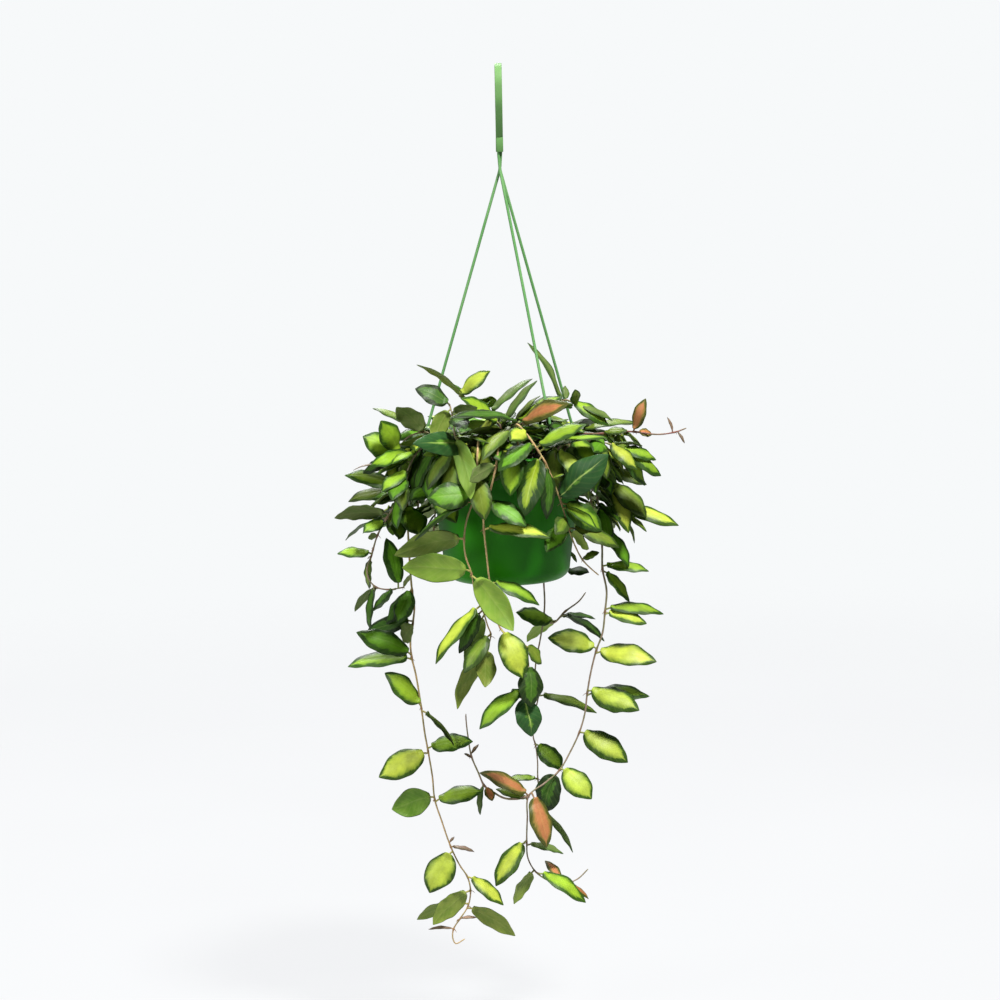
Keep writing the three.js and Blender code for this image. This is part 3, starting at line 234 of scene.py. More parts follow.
# Each stem stands in the soil at its root (x, y) and runs through its points.
# A leaf is (stem point it grows from, tip x, tip z, tip y, width, turn, look).
FRONT_VINES = [
    {
        "name": "vine_left_long", "root": (-60, -18), "tone": "tan",
        "stem": [
            (-78, -386, -22), (-96, -400, -28), (-103, -434, -32), (-104, -456, -34), (-103, -510, -35),
            (-101, -545, -36), (-99, -562, -36), (-101, -580, -36), (-104, -600, -37), (-103, -616, -37),
            (-99, -635, -38), (-94, -671, -38), (-91, -698, -38), (-88, -717, -38), (-84, -745, -38),
            (-82, -770, -38), (-75, -794, -38), (-66, -822, -38), (-57, -842, -38), (-49, -855, -38),
            (-46, -870, -38), (-49, -887, -38), (-58, -901, -38), (-65, -912, -38), (-66, -922, -38),
            (-63, -928, -38), (-53, -923, -38)
        ],
        "leaves": [
            (2, -111, -456, -58, 20, 28, "green"), (3, -92, -486, -62, 26, 20, "lime"),
            (5, -117, -580, -46, 22, 30, "green"), (5, -129, -580, -24, 20, 50, "dark"),
            (7, -152, -592, -48, 22, 35, "dark"), (7, -112, -598, -62, 20, 140, "grey"),
            (9, -161, -588, -30, 25, 28, "green"), (9, -171, -625, -46, 24, 52, "lime"),
            (11, -132, -632, -48, 25, 35, "lime"), (11, -60, -713, -50, 18, 76, "olive"),
            (13, -40, -708, -30, 22, 40, "lime"), (13, -141, -745, -50, 28, 20, "yellow"),
            (15, -128, -780, -42, 28, 165, "green"), (15, -30, -762, -44, 22, 40, "lime"),
            (17, -62, -811, -34, 5, 60, "young"), (17, -41, -828, -44, 8, 60, "young"),
            (17, -90, -872, -50, 29, 12, "yellow"), (19, -11, -887, -44, 19, 42, "yellow"),
            (20, -87, -907, -52, 22, 150, "olive"), (21, -104, -901, -26, 20, 135, "olive"),
            (21, 1, -921, -44, 20, 145, "olive"), (22, -40, -900, -38, 5, 50, "young"),
            (23, -92, -912, -36, 5, 50, "young")
        ],
    },
    {
        "name": "vine_left_loop", "root": (-50, -34), "tone": "mauve",
        "stem": [
            (-70, -384, -44), (-92, -398, -52), (-106, -425, -54), (-114, -448, -54), (-126, -467, -54),
            (-136, -485, -54), (-141, -500, -54), (-143, -507, -54), (-148, -520, -54),
            (-146, -532, -54), (-139, -540, -54), (-126, -543, -54), (-110, -541, -54)
        ],
        "leaves": [
            (4, -181, -466, -60, 22, 130, "grey"), (4, -170, -490, -46, 16, 100, "dark"),
            (4, -151, -482, -66, 14, 30, "lime"), (5, -146, -488, -60, 8, 140, "grey"),
            (7, -179, -504, -58, 16, 50, "lime"), (7, -146, -542, -44, 14, 60, "olive"),
            (10, -146, -586, -58, 14, 60, "dark"), (10, -162, -566, -44, 12, 130, "grey"),
            (12, -143, -566, -62, 16, 60, "dark"), (12, -127, -488, -44, 22, 35, "green"),
            (12, -101, -527, -60, 8, 120, "olive")
        ],
    },
    {
        "name": "vine_front_left", "root": (-24, -50), "tone": "tan",
        "stem": [
            (-27, -384, -70), (-29, -398, -93), (-31, -433, -95), (-35, -451, -95), (-42, -471, -94),
            (-45, -491, -93), (-44, -508, -92), (-38, -528, -91), (-34, -552, -90), (-27, -567, -90),
            (-22, -584, -90), (-19, -593, -90), (-22, -607, -90)
        ],
        "leaves": [
            (3, -83, -447, -104, 28, 22, "green"), (3, -97, -492, -112, 18, 75, "dark"),
            (3, -22, -450, -100, 8, 60, "olive"), (5, -119, -507, -84, 26, 150, "olive"),
            (7, -111, -520, -104, 28, 165, "pale"), (7, 5, -590, -112, 28, 160, "pale"),
            (9, -78, -624, -104, 22, 55, "yellow"), (9, -53, -613, -84, 20, 40, "dark"),
            (9, -44, -637, -78, 20, 150, "pale"), (11, -48, -634, -106, 20, 30, "olive"),
            (12, -56, -673, -94, 20, 140, "olive"), (12, -26, -650, -104, 22, 150, "olive")
        ],
    },
    {
        "name": "vine_front", "root": (-6, -54), "tone": "tan",
        "stem": [
            (-7, -386, -76), (-8, -400, -95), (-10, -414, -97), (-16, -438, -97), (-21, -452, -97),
            (-24, -467, -96), (-24, -481, -95), (-22, -505, -94), (-19, -538, -92), (-15, -562, -90),
            (-8, -588, -90), (5, -597, -88), (17, -606, -86), (20, -625, -86), (17, -645, -86),
            (13, -663, -86)
        ],
        "leaves": [
            (2, -38, -430, -130, 16, 150, "grey"), (4, 21, -479, -110, 22, 35, "green"),
            (6, 47, -492, -102, 20, 48, "yellow"), (8, 33, -563, -96, 20, 50, "lime"),
            (10, 14, -641, -104, 28, 18, "yellow"), (12, 34, -626, -80, 18, 50, "olive"),
            (13, 22, -672, -98, 26, 25, "dark"), (15, -33, -695, -96, 22, 40, "lime"),
            (15, 22, -704, -92, 26, 20, "rib"), (15, 3, -652, -70, 12, 40, "dark")
        ],
    },
    {
        "name": "vine_front_right", "root": (16, -44), "tone": "tan",
        "stem": [
            (12, -371, -62), (24, -383, -80), (34, -398, -90), (42, -412, -92), (48, -427, -90),
            (53, -441, -86), (58, -455, -82), (62, -470, -78), (66, -484, -74), (71, -499, -70),
            (79, -515, -66), (88, -525, -62), (96, -532, -60)
        ],
        "leaves": [
            (2, -8, -420, -118, 22, 40, "green"), (2, 86, -372, -96, 20, 48, "lime"),
            (2, 108, -387, -72, 18, 70, "lime"), (2, 19, -468, -108, 28, 25, "blotch"),
            # The dark leaf in front of the pot here is coloured dark for the shadow it hangs in: painted
            # shade
            (3, 42, -472, -96, 18, 40, "dark"), (4, 36, -422, -98, 6, 60, "olive"),
            (4, 62, -424, -96, 5, 60, "olive"), (6, 108, -404, -112, 30, 15, "rib"),
            (6, 100, -485, -66, 24, 25, "lime"), (6, 95, -484, -94, 16, 55, "lime"),
            (8, 118, -503, -84, 20, 45, "olive"), (8, 86, -504, -96, 18, 120, "olive"),
            (10, 97, -508, -70, 10, 45, "olive")
        ],
    },
    {
        "name": "vine_right_long", "root": (58, -6), "tone": "mauve",
        "stem": [
            (74, -384, -8), (93, -398, -10), (96, -420, -10), (95, -441, -10), (97, -460, -10),
            (99, -480, -10), (100, -503, -10), (100, -525, -10), (104, -549, -10), (102, -571, -10),
            (99, -594, -10), (92, -613, -10), (86, -636, -10), (82, -658, -10), (79, -680, -10),
            (73, -700, -12), (63, -721, -14), (51, -741, -18), (36, -754, -22), (18, -768, -24),
            (16, -793, -24), (15, -819, -24), (16, -836, -24), (24, -851, -24), (38, -861, -24),
            (54, -864, -22), (68, -860, -20), (80, -849, -18)
        ],
        "leaves": [
            (5, 128, -524, -24, 18, 42, "green"), (7, 149, -529, -20, 18, 55, "lime"),
            (7, 128, -561, -4, 18, 55, "lime"), (9, 164, -575, -2, 18, 50, "lime"),
            (9, 146, -585, -24, 20, 45, "yellow"), (11, 41, -598, -22, 26, 30, "yellow"),
            (11, 156, -626, -22, 26, 35, "yellow"), (13, 137, -678, -30, 28, 30, "yellow"),
            (13, 148, -663, -4, 22, 45, "lime"), (15, 124, -734, -24, 28, 28, "yellow"),
            (17, 85, -773, -30, 26, 20, "yellow"), (17, 33, -786, -8, 28, 25, "dark"),
            (19, 36, -825, -40, 24, 30, "bronze"), (19, -34, -742, -34, 20, 42, "bronze"),
            (19, -17, -760, -16, 14, 50, "olive"), (21, -19, -866, -34, 24, 35, "yellow"),
            (21, 54, -832, -14, 14, 60, "grey"), (23, 0, -886, -30, 18, 130, "olive"),
            (23, 77, -886, -32, 22, 48, "lime"), (25, 34, -839, -22, 12, 40, "bronze"),
            (25, 80, -882, -18, 8, 50, "bronze")
        ],
        "branch": {
            "from": 19,
            "stem": [
                (6, -771, -26), (-8, -770, -28), (-20, -763, -28), (-29, -756, -28), (-35, -742, -28),
                (-42, -724, -28), (-45, -705, -28), (-47, -684, -28), (-47, -678, -28)
            ],
            "leaves": [
                (3, -21, -773, -36, 11, 30, "bronze"), (3, -34, -788, -30, 9, 50, "grey"),
                (5, -50, -721, -30, 4, 50, "young"), (5, -34, -711, -26, 5, 50, "young")
            ],
        },
    },
    {
        "name": "vine_behind", "root": (12, 40), "tone": "mauve",
        "stem": [
            (26, -372, 66), (30, -388, 95), (34, -430, 97), (36, -490, 94), (38, -541, 92),
            (38.5, -560, 91), (37, -578, 90), (33, -600, 90), (28, -625, 90), (27, -645, 90),
            (30, -660, 90), (25, -682, 90), (24, -705, 90), (26, -712, 90), (28, -730, 90),
            (28, -750, 90), (30, -767, 90), (31, -783, 90)
        ],
        "leaves": [
            (10, 92, -680, 86, 20, 62, "olive"), (13, 54, -741, 80, 22, 30, "lime"),
            (15, -6, -752, 84, 14, 60, "lime"), (17, 64, -831, 86, 14, 65, "grey")
        ],
        "branch": {
            "from": 6,
            "stem": [
                (47, -582, 88), (60, -570, 86), (75, -559, 84), (82, -550, 84)
            ],
            "leaves": [
                (0, 8, -570, 74, 24, 45, "lime"), (0, 19, -602, 76, 18, 125, "pale"),
                (0, 92, -579, 94, 14, 68, "dark"), (0, 101, -603, 80, 16, 60, "dark")
            ],
        },
    },
    {
        "name": "vine_back_right", "root": (40, 30), "tone": "mauve",
        "stem": [
            (52, -376, 50), (64, -392, 74), (67, -430, 78), (67, -470, 77), (65, -505, 75),
            (62, -527, 74)
        ],
        "leaves": [
            (5, 86, -529, 60, 16, 55, "dark"), (4, 73, -518, 66, 6, 50, "grey")
        ],
    },
    {
        "name": "crown_upper_left", "root": (-12, -30), "tone": "mauve",
        "stem": [
            (-4, -374, -48), (-16, -360, -50), (-30, -349, -50), (-47, -340, -48)
        ],
        "leaves": [
            (1, 30, -323, -40, 16, 62, "grey"), (0, 35, -325, -58, 16, 62, "grey"),
            (3, -91, -306, -52, 16, 110, "olive"), (3, -57, -326, -40, 10, 60, "dark"),
            (3, -14, -314, -62, 20, 48, "yellow"), (0, -46, -342, -70, 20, 50, "lime")
        ],
    },
    {
        "name": "crown_centre", "root": (4, -28), "tone": "mauve",
        "stem": [
            (5, -384, -38), (9, -370, -46), (22, -371, -52)
        ],
        "leaves": [
            (1, -24, -408, -96, 20, 45, "olive"), (1, 38, -341, -44, 12, 70, "olive"),
            (1, 62, -342, -60, 20, 50, "lime"), (2, 68, -350, -76, 22, 40, "bronze"),
            (2, 37, -375, -62, 8, 60, "olive"), (1, -58, -363, -82, 16, 60, "dark"),
            (0, -42, -381, -84, 14, 120, "grey")
        ],
    },
    {
        "name": "crown_left_front", "root": (-34, -34), "tone": "mauve",
        "stem": [
            (-40, -397, -56), (-52, -382, -82), (-54, -364, -76), (-57, -349, -68)
        ],
        "leaves": [
            (0, -97, -389, -98, 25, 28, "rib"), (1, -37, -449, -116, 22, 150, "pale"),
            (3, -28, -352, -80, 14, 130, "grey"), (3, -76, -388, -90, 20, 150, "olive"),
            (3, -93, -331, -70, 22, 35, "dark")
        ],
    },
    {
        "name": "crown_left", "root": (-56, -2), "tone": "mauve",
        "stem": [
            (-72, -382, -12), (-86, -377, -16), (-104, -384, -18), (-119, -410, -20)
        ],
        "leaves": [
            (1, -113, -350, -34, 26, 140, "grey"), (1, -138, -351, -10, 14, 60, "olive"),
            (3, -130, -364, -44, 24, 25, "lime"), (3, -149, -380, -30, 26, 28, "lime"),
            (3, -150, -419, -10, 16, 45, "dark"), (3, -160, -416, -34, 4, 70, "young")
        ],
    },
    {
        "name": "crown_left_low", "root": (-52, 12), "tone": "mauve",
        "stem": [
            (-76, -386, 10), (-94, -398, 6), (-108, -418, 0), (-114, -437, -4), (-117, -452, -8),
            (-117, -466, -10)
        ],
        "leaves": [
            (3, -169, -421, -22, 22, 48, "lime"), (3, -166, -449, -2, 18, 50, "olive"),
            (5, -113, -490, -24, 18, 40, "olive")
        ],
    },
    {
        "name": "crown_right_upper", "root": (26, -14), "tone": "mauve",
        "stem": [
            (38, -378, -18), (52, -356, -22), (64, -346, -24), (78, -354, -26)
        ],
        "leaves": [
            (2, 25, -285, -30, 16, 68, "grey"), (2, 64, -331, -14, 8, 30, "grey"),
            (3, 74, -335, -38, 12, 35, "olive"), (2, 109, -374, -46, 20, 48, "lime"),
            (3, 113, -369, -16, 12, 60, "grey")
        ],
    },
    {
        "name": "shoot_right", "root": (50, -22), "tone": "plum",
        "stem": [
            (66, -382, -26), (88, -382, -30), (103, -382, -32), (120, -380, -32), (137, -381, -32),
            (160, -384, -32), (178, -382, -32), (190, -378, -32)
        ],
        "leaves": [
            (2, 128, -380, -44, 12, 50, "olive"), (4, 148, -346, -40, 14, 25, "bronze"),
            (4, 154, -384, -24, 10, 40, "bronze"), (6, 170, -366, -30, 4, 50, "young"),
            (6, 188, -394, -34, 4, 50, "young")
        ],
    },
    {
        "name": "crown_right", "root": (46, -42), "tone": "mauve",
        "stem": [
            (70, -386, -52), (94, -390, -58), (112, -394, -58), (124, -402, -58)
        ],
        "leaves": [
            (2, 138, -421, -72, 20, 45, "yellow"), (2, 144, -396, -48, 14, 100, "grey"),
            (3, 158, -411, -60, 18, 52, "lime"), (3, 163, -428, -54, 20, 50, "lime"),
            (2, 146, -438, -80, 20, 50, "lime"), (0, 45, -373, -70, 18, 55, "dark")
        ],
    },
    {
        "name": "crown_right_low", "root": (58, 10), "tone": "mauve",
        "stem": [
            (78, -386, 8), (96, -396, 6), (106, -418, -2), (109, -437, -10), (116, -455, -14),
            (124, -471, -16)
        ],
        "leaves": [
            (3, 147, -472, -28, 24, 40, "olive"), (3, 128, -488, -40, 22, 38, "yellow"),
            (5, 181, -481, -20, 20, 45, "yellow"), (5, 147, -487, -26, 10, 60, "olive"),
            (5, 134, -499, -12, 6, 60, "grey")
        ],
    },
]

# Vines at the back hang over the rim by one rule: (direction in degrees, stem length below the rim)
BACK_VINES = ((58, 96), (78, 70), (100, 118), (120, 84), (141, 104), (161, 66), (22, 74))
BACK_SEEDS = (1009, 97)       # of the draws for the first vine, and the step to the next
BACK_ROOT_RADIUS = 46
BACK_ROOT_STRAY = (-5, 5)
BACK_ROOT_TURN = (-8, 8)
BACK_CREST_RADIUS = 72
BACK_CREST_RISE = 12
BACK_HANG_RADIUS = 97
BACK_HANG_RISE = 1
BACK_HANG_STRAY = (-1, 4)
BACK_SWAY = (-4, 4)
BACK_NODE_STEP = 30
BACK_TIP_OUT = 4
BACK_TIP_FALL = 10
BACK_LEAF = {
    "length": (42, 56), "width": (0.38, 0.46), "spread": (38, 78), "droop": (12, 48), "turn": (18, 60),
}

# Short shoots lean over the rim between the hanging vines: (direction, fall below the rim).
# The first pair of leaves hangs down like a curtain, the second stands off.
RIM_SHOOTS = ((203, 16), (222, 30), (235, 12), (245, 34), (275, 14), (315, 34), (335, 12), (347, 30),
              (12, 18), (168, 26), (303, 24))
RIM_SEEDS = (3001, 113)
RIM_ROOT_RADIUS = 69
RIM_CREST_RADIUS = 91
RIM_CREST_RISE = 14
RIM_SWAY = (-2, 2)
RIM_LEAF = {
    "length": (40, 52), "width": (0.44, 0.5), "spread": (34, 75), "droop": (2, 36), "turn": (20, 50),
}
CURTAIN_LEAF = {
    "length": (50, 60), "width": (0.44, 0.5), "spread": (12, 46), "droop": (58, 76), "turn": (0, 16),
}

# Short shoots fill the crown behind the front leaves: root x, root y and direction in degrees
FILL_SHOOTS = ((-30, 8, 150), (-8, 18, 100), (14, 8, 60), (38, 2, 15), (-40, -12, 190),
               (-16, -38, 240), (2, -16, 285), (-24, 44, 110), (-40, -46, 245), (30, -28, 300),
               (-2, -4, 90), (-26, -14, 200), (22, 12, 20), (62, 24, 40), (24, -4, 350), (-46, 8, 175))
FILL_SEEDS = (5003, 131)
FILL_HEIGHT = (20, 38)
FILL_REACH = 26
FILL_KNEE = 0.4               # share of the reach where the shoot's lower pair of leaves grows
FILL_TOP_RISE = (4, 12)
FILL_LEAF = {
    "length": (44, 56), "width": (0.3, 0.42), "spread": (30, 85), "droop": (-20, 16), "turn": (50, 80),
}

# Colours of a leaf: its centre, its margin, its underside, how far the centre spreads towards the margin,
# how ragged its edge is, and how pale the midrib is
LOOKS = {
    "yellow": ((166, 182, 62), (46, 74, 14), (138, 158, 62), 0.63, 0.34, 0.05),
    "lime": ((128, 162, 38), (42, 74, 14), (118, 148, 52), 0.6, 0.36, 0.05),
    "green": ((84, 134, 22), (36, 66, 14), (104, 138, 46), 0.58, 0.4, 0.08),
    "pale": ((118, 154, 54), (92, 128, 42), (120, 150, 56), 0.9, 0.2, 0.05),
    "olive": ((102, 122, 36), (52, 72, 24), (114, 130, 54), 0.56, 0.36, 0.06),
    # The dark look is a darker, less variegated leaf colour; on leaves that hang in the crown's shadow,
    # like the one in front of the pot, its darkness is painted shade as well
    "dark": ((54, 92, 22), (26, 48, 12), (74, 98, 36), 0.44, 0.5, 0.08),
    "blotch": ((142, 166, 34), (32, 62, 14), (86, 112, 40), 0.36, 0.75, 0.25),
    "rib": ((104, 150, 48), (38, 76, 34), (92, 120, 56), 0.12, 0.6, 0.45),
    "bronze": ((174, 112, 70), (72, 76, 24), (142, 106, 66), 0.58, 0.34, 0.05),
    "grey": ((92, 112, 56), (58, 80, 36), (106, 122, 70), 0.6, 0.34, 0.06),
    "young": ((126, 100, 86), (84, 64, 54), (128, 106, 92), 0.6, 0.3, 0.05),
}
RULE_LOOKS = (
    "dark", "green", "lime", "olive", "lime", "green", "yellow", "grey", "lime", "dark", "olive",
)
LOOK_STEPS = (5, 3, 7)        # through those looks, from stem to stem, node to node and leaf to leaf
SHADE_VARIES = 0.14           # from leaf to leaf, of the whole colour, its warmth and the centre's spread
WARMTH_VARIES = 0.05
SPREAD_VARIES = 0.12

# A plastic's main, dark and scuffed colours, its roughness and the scale of its grain
PLASTICS = {
    "pot_plastic": ((38, 120, 5), (26, 100, 5), (84, 148, 44), 0.42, 900),
    "hook_plastic": ((102, 143, 86), (88, 131, 74), (150, 180, 134), 0.45, 1400),
    "wire_plastic": ((108, 154, 98), (90, 142, 82), (160, 188, 144), 0.42, 1600),
}
STEM_TONES = {
    "tan": (192, 160, 110), "mauve": (142, 122, 104), "plum": (128, 78, 74), "green": (84, 92, 46),
}


def unit(vector):
    return vector / np.linalg.norm(vector)


def polar(radius, degrees, z):
    angle = math.radians(degrees)
    return np.array([radius * math.cos(angle), radius * math.sin(angle), z])


def compass(place):
    return math.degrees(math.atan2(place[1], place[0]))


def seen(place):
    x, z, y = place
    reach = (y - VIEWPOINT[1]) / -VIEWPOINT[1]
    return np.array([
        VIEWPOINT[0] + (x - VIEWPOINT[0]) * reach,
        y,
        VIEWPOINT[2] + (z - VIEWPOINT[2]) * reach,
    ])


def smooth(value, low, high):
    share = np.clip((value - low) / (high - low), 0, 1)
    return share * share * (3 - 2 * share)


def linear(colour):
    """Linear red, green, blue and alpha of a screen colour given as 0 to 255."""
    screen = np.array(colour) / 255
    low = screen <= 0.04045
    return [*np.where(low, screen / 12.92, ((screen + 0.055) / 1.055) ** 2.4), 1.0]


class Draws:
    """Park-Miller draws: the same sequence for the same seed on every run."""

    def __init__(self, first, step=0, index=0):
        self.state = first + step * index

    def __call__(self, limits):
        low, high = limits
        self.state = self.state * 16807 % 2147483647
        return low + (high - low) * (self.state / 2147483647)


class Form:
    """Closed surfaces gathered into one mesh, with values at each point for the materials."""

    def __init__(self):
        self.points = []
        self.faces = []
        self.slots = []
        self.values = {}
        self.count = 0

    def add(self, points, faces, slot=0, **values):
        self.points.append(points)
        self.faces += [[index + self.count for index in face] for face in faces]
        self.slots += [slot] * len(faces)
        for name, value in values.items():
            row = np.asarray(value, float)
            if row.ndim == 1:
                row = np.tile(row, (len(points), 1))
            self.values.setdefault(name, []).append((self.count, row))
        self.count += len(points)

    def piece(self, name, materials, slot, replaced=()):
        mesh = bpy.data.meshes.new(name)
        mesh.from_pydata((np.vstack(self.points) * MM).tolist(), [], self.faces)
        for material in materials:
            mesh.materials.append(material)
        mesh.polygons.foreach_set("material_index", self.slots)
        for key, rows in self.values.items():
            kind = "FLOAT_COLOR" if rows[0][1].shape[1] == 4 else "FLOAT_VECTOR"
            data = np.zeros((self.count, rows[0][1].shape[1]), np.float32)
            for start, row in rows:
                data[start:start + len(row)] = row
            layer = mesh.attributes.new(key, kind, "POINT")
            layer.data.foreach_set("color" if kind == "FLOAT_COLOR" else "vector", data.ravel())
        mesh.polygons.foreach_set("use_smooth", [True] * len(mesh.polygons))
        mesh.update()
        made = bpy.data.objects.new(name, mesh)
        bpy.context.scene.collection.objects.link(made)
        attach(made, "root")
        if replaced:
            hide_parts(*replaced)
        return made


def loft(rings, tip=None):
    """Points and faces of a closed tube through rings of points. A tip point closes its far end."""
    count, size = rings.shape[:2]
    points = rings.reshape(-1, 3)
    here = np.arange(size)
    after = (here + 1) % size
    faces = []
    for start in range(0, (count - 1) * size, size):
        corners = (start + here, start + after, start + size + after, start + size + here)
        faces += np.stack(corners, 1).tolist()
    faces.append(here[::-1].tolist())
    last = (count - 1) * size
    if tip is None:
        faces.append((last + here).tolist())
    else:
        points = np.vstack([points, tip])
        faces += [[last + k, last + (k + 1) % size, last + size] for k in range(size)]
    return points, faces


def curve_through(points, step):
    """Points about a step apart on a centripetal Catmull-Rom curve through the given points."""
    padded = [2 * points[0] - points[1], *points, 2 * points[-1] - points[-2]]
    line = [points[0]]
    for a, b, c, d in zip(padded, padded[1:], padded[2:], padded[3:]):
        gaps = [max(np.linalg.norm(q - p), 1e-3) ** 0.5 for p, q in ((a, b), (b, c), (c, d))]
        knots = np.cumsum([0.0, *gaps])
        count = max(1, round(np.linalg.norm(c - b) / step))
        for k in range(1, count + 1):
            t = knots[1] + (knots[2] - knots[1]) * k / count
            ab = (a * (knots[1] - t) + b * t) / knots[1]
            bc = (b * (knots[2] - t) + c * (t - knots[1])) / (knots[2] - knots[1])
            cd = (c * (knots[3] - t) + d * (t - knots[2])) / (knots[3] - knots[2])
            abc = (ab * (knots[2] - t) + bc * t) / knots[2]
            bcd = (bc * (knots[3] - t) + cd * (t - knots[1])) / (knots[3] - knots[1])
            line.append((abc * (knots[2] - t) + bcd * (t - knots[1])) / (knots[2] - knots[1]))
    return np.array(line)


def tube_rings(line, radii, sides):
    """Rings of a round tube along a line of points, turned as little as possible from one to the next."""
    across = np.array([0.0, 1.0, 0.0])
    turns = np.arange(sides) * 2 * math.pi / sides
    rings = []
    for i, centre in enumerate(line):
        along = unit(line[min(i + 1, len(line) - 1)] - line[max(i - 1, 0)])
        across = unit(across - along * np.dot(across, along))
        beside = np.cross(along, across)
        circle = np.outer(np.cos(turns), across) + np.outer(np.sin(turns), beside)
        rings.append(centre + radii[i] * circle)
    return np.array(rings)


class Leaf:
    """A leaf's foot, the way its face turns from, its width, turn and look, and its possible tips."""

    def __init__(self, base, outward, width, turn, look, tips):
        self.base = base
        self.outward = outward
        self.width = width
        self.turn = turn
        self.look = look
        self.tips = tips

    def kept_tip(self, tree):
        """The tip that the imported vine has, or None where it has no such leaf."""
        for tip in self.tips:
            if tree.find(tip * MM)[2] < TIP_MATCH * MM:
                return tip
        return None


def stalk_foot(stem, at, place, count):
    """Foot of a stalk inside the stem. A node's leaves, counted by place, follow each other along it."""
    last = len(stem) - 1
    first = 0 if at == 0 else (1 - count) / (1 if at == last else 2)
    offset = (first + place) * STALK_APART
    if offset == 0:
        return stem[at]
    neighbour = stem[at + (1 if offset > 0 else -1)]
    return stem[at] + (neighbour - stem[at]) * abs(offset) / np.linalg.norm(neighbour - stem[at])


def seen_leaves(stem, rows):
    leaves = []
    nodes = [row[0] for row in rows]
    for index, (at, x, z, y, width, turn, look) in enumerate(rows):
        base = stalk_foot(stem, at, nodes[:index].count(at), nodes.count(at))
        tips = [seen((x, z, y - shift)) for shift in TIP_SHIFTS]
        leaves.append(Leaf(base, unit(VIEWPOINT - base), width * SEEN_BREADTH, turn, look, tips))
    return leaves


def rule_leaf(base, heading, droop, length, width_share, turn, look):
    """One leaf by rule: heading is its compass direction and droop its angle below level."""
    fall = math.radians(droop)
    outward = unit(polar(FACING_OUT, compass(base), FACING_UP))
    tips = []
    for swing in RULE_SWINGS:
        tip = base + polar(length * math.cos(fall), heading + swing, -length * math.sin(fall))
        tips += [tip + outward * shift for shift in RULE_SHIFTS]
    return Leaf(base, outward, length * width_share, turn, look, tips)


def leaf_pair(stem, at, heading, kind, draw, number):
    pair = []
    number_step, node_step, place_step = LOOK_STEPS
    for place, sign in enumerate((-1, 1)):
        spread = sign * draw(kind["spread"])
        length = draw(kind["length"])
        droop = draw(kind["droop"])
        width = draw(kind["width"])
        turn = draw(kind["turn"])
        look = (number * number_step + at * node_step + place * place_step) % len(RULE_LOOKS)
        base = stalk_foot(stem, at, place, 2)
        pair.append(rule_leaf(base, heading + spread, droop, length, width, turn, RULE_LOOKS[look]))
    return pair


def root_points(x, y):
    return [np.array([x, y, SOIL_Z - ROOT_DEPTH]), np.array([x, y, SOIL_Z + ROOT_COLLAR])]


def front_vine(row):
    main = [seen(place) for place in row["stem"]]
    stems = [[*root_points(*row["root"]), *main]]
    leaves = seen_leaves(main, row["leaves"])
    if "branch" in row:
        side = [seen(place) for place in row["branch"]["stem"]]
        stems.append([main[row["branch"]["from"]], *side])
        leaves += seen_leaves(side, row["branch"]["leaves"])
    return {"name": row["name"], "tone": row["tone"], "stems": stems, "leaves": leaves}


def back_vine(index, heading, drop):
    draw = Draws(*BACK_SEEDS, index)
    root = polar(BACK_ROOT_RADIUS + draw(BACK_ROOT_STRAY), heading + draw(BACK_ROOT_TURN), 0)
    points = [
        polar(BACK_CREST_RADIUS, heading, RIM_Z + BACK_CREST_RISE),
        polar(BACK_HANG_RADIUS, heading, RIM_Z + BACK_HANG_RISE),
    ]
    nodes = [1]
    for depth in range(BACK_NODE_STEP, drop + 1, BACK_NODE_STEP):
        sway = heading + draw(BACK_SWAY)
        nodes.append(len(points))
        points.append(polar(BACK_HANG_RADIUS + draw(BACK_HANG_STRAY), sway, RIM_Z - depth))
    points.append(points[-1] + polar(BACK_TIP_OUT, heading, -BACK_TIP_FALL))
    leaves = [leaf for at in nodes for leaf in leaf_pair(points, at, heading, BACK_LEAF, draw, index)]
    stem = [*root_points(root[0], root[1]), *points]
    return {"name": f"vine_back_{index + 1}", "tone": "mauve", "stems": [stem], "leaves": leaves}


def rim_shoot(index, heading, fall):
    draw = Draws(*RIM_SEEDS, index)
    root = polar(RIM_ROOT_RADIUS, heading, 0)
    crest = polar(RIM_CREST_RADIUS, heading, RIM_Z + RIM_CREST_RISE)
    end = polar(BACK_HANG_RADIUS, heading + draw(RIM_SWAY), RIM_Z - fall)
    leaves = []
    for at, kind in enumerate((CURTAIN_LEAF, RIM_LEAF)):
        leaves += leaf_pair([crest, end], at, heading, kind, draw, index + 3)
    stem = [*root_points(root[0], root[1]), crest, end]
    return {"name": f"crown_rim_{index + 1}", "tone": "green", "stems": [stem], "leaves": leaves}


def fill_shoot(index, x, y, heading):
    draw = Draws(*FILL_SEEDS, index)
    foot = np.array([x, y, 0.0])
    height = SOIL_Z + draw(FILL_HEIGHT)
    knee = polar(FILL_REACH * FILL_KNEE, heading, height) + foot
    top = polar(FILL_REACH, heading, height + draw(FILL_TOP_RISE)) + foot
    leaves = []
    for at in (0, 1):
        leaves += leaf_pair([knee, top], at, heading, FILL_LEAF, draw, index + 6)
    stem = [*root_points(x, y), knee, top]
    return {"name": f"crown_fill_{index + 1}", "tone": "green", "stems": [stem], "leaves": leaves}


def varied(number, salt):
    """A value between -1 and 1 that is always the same for the same number and salt."""
    return 2 * ((math.sin(number * 12.9898 + salt * 78.233) * 43758.5453) % 1.0) - 1


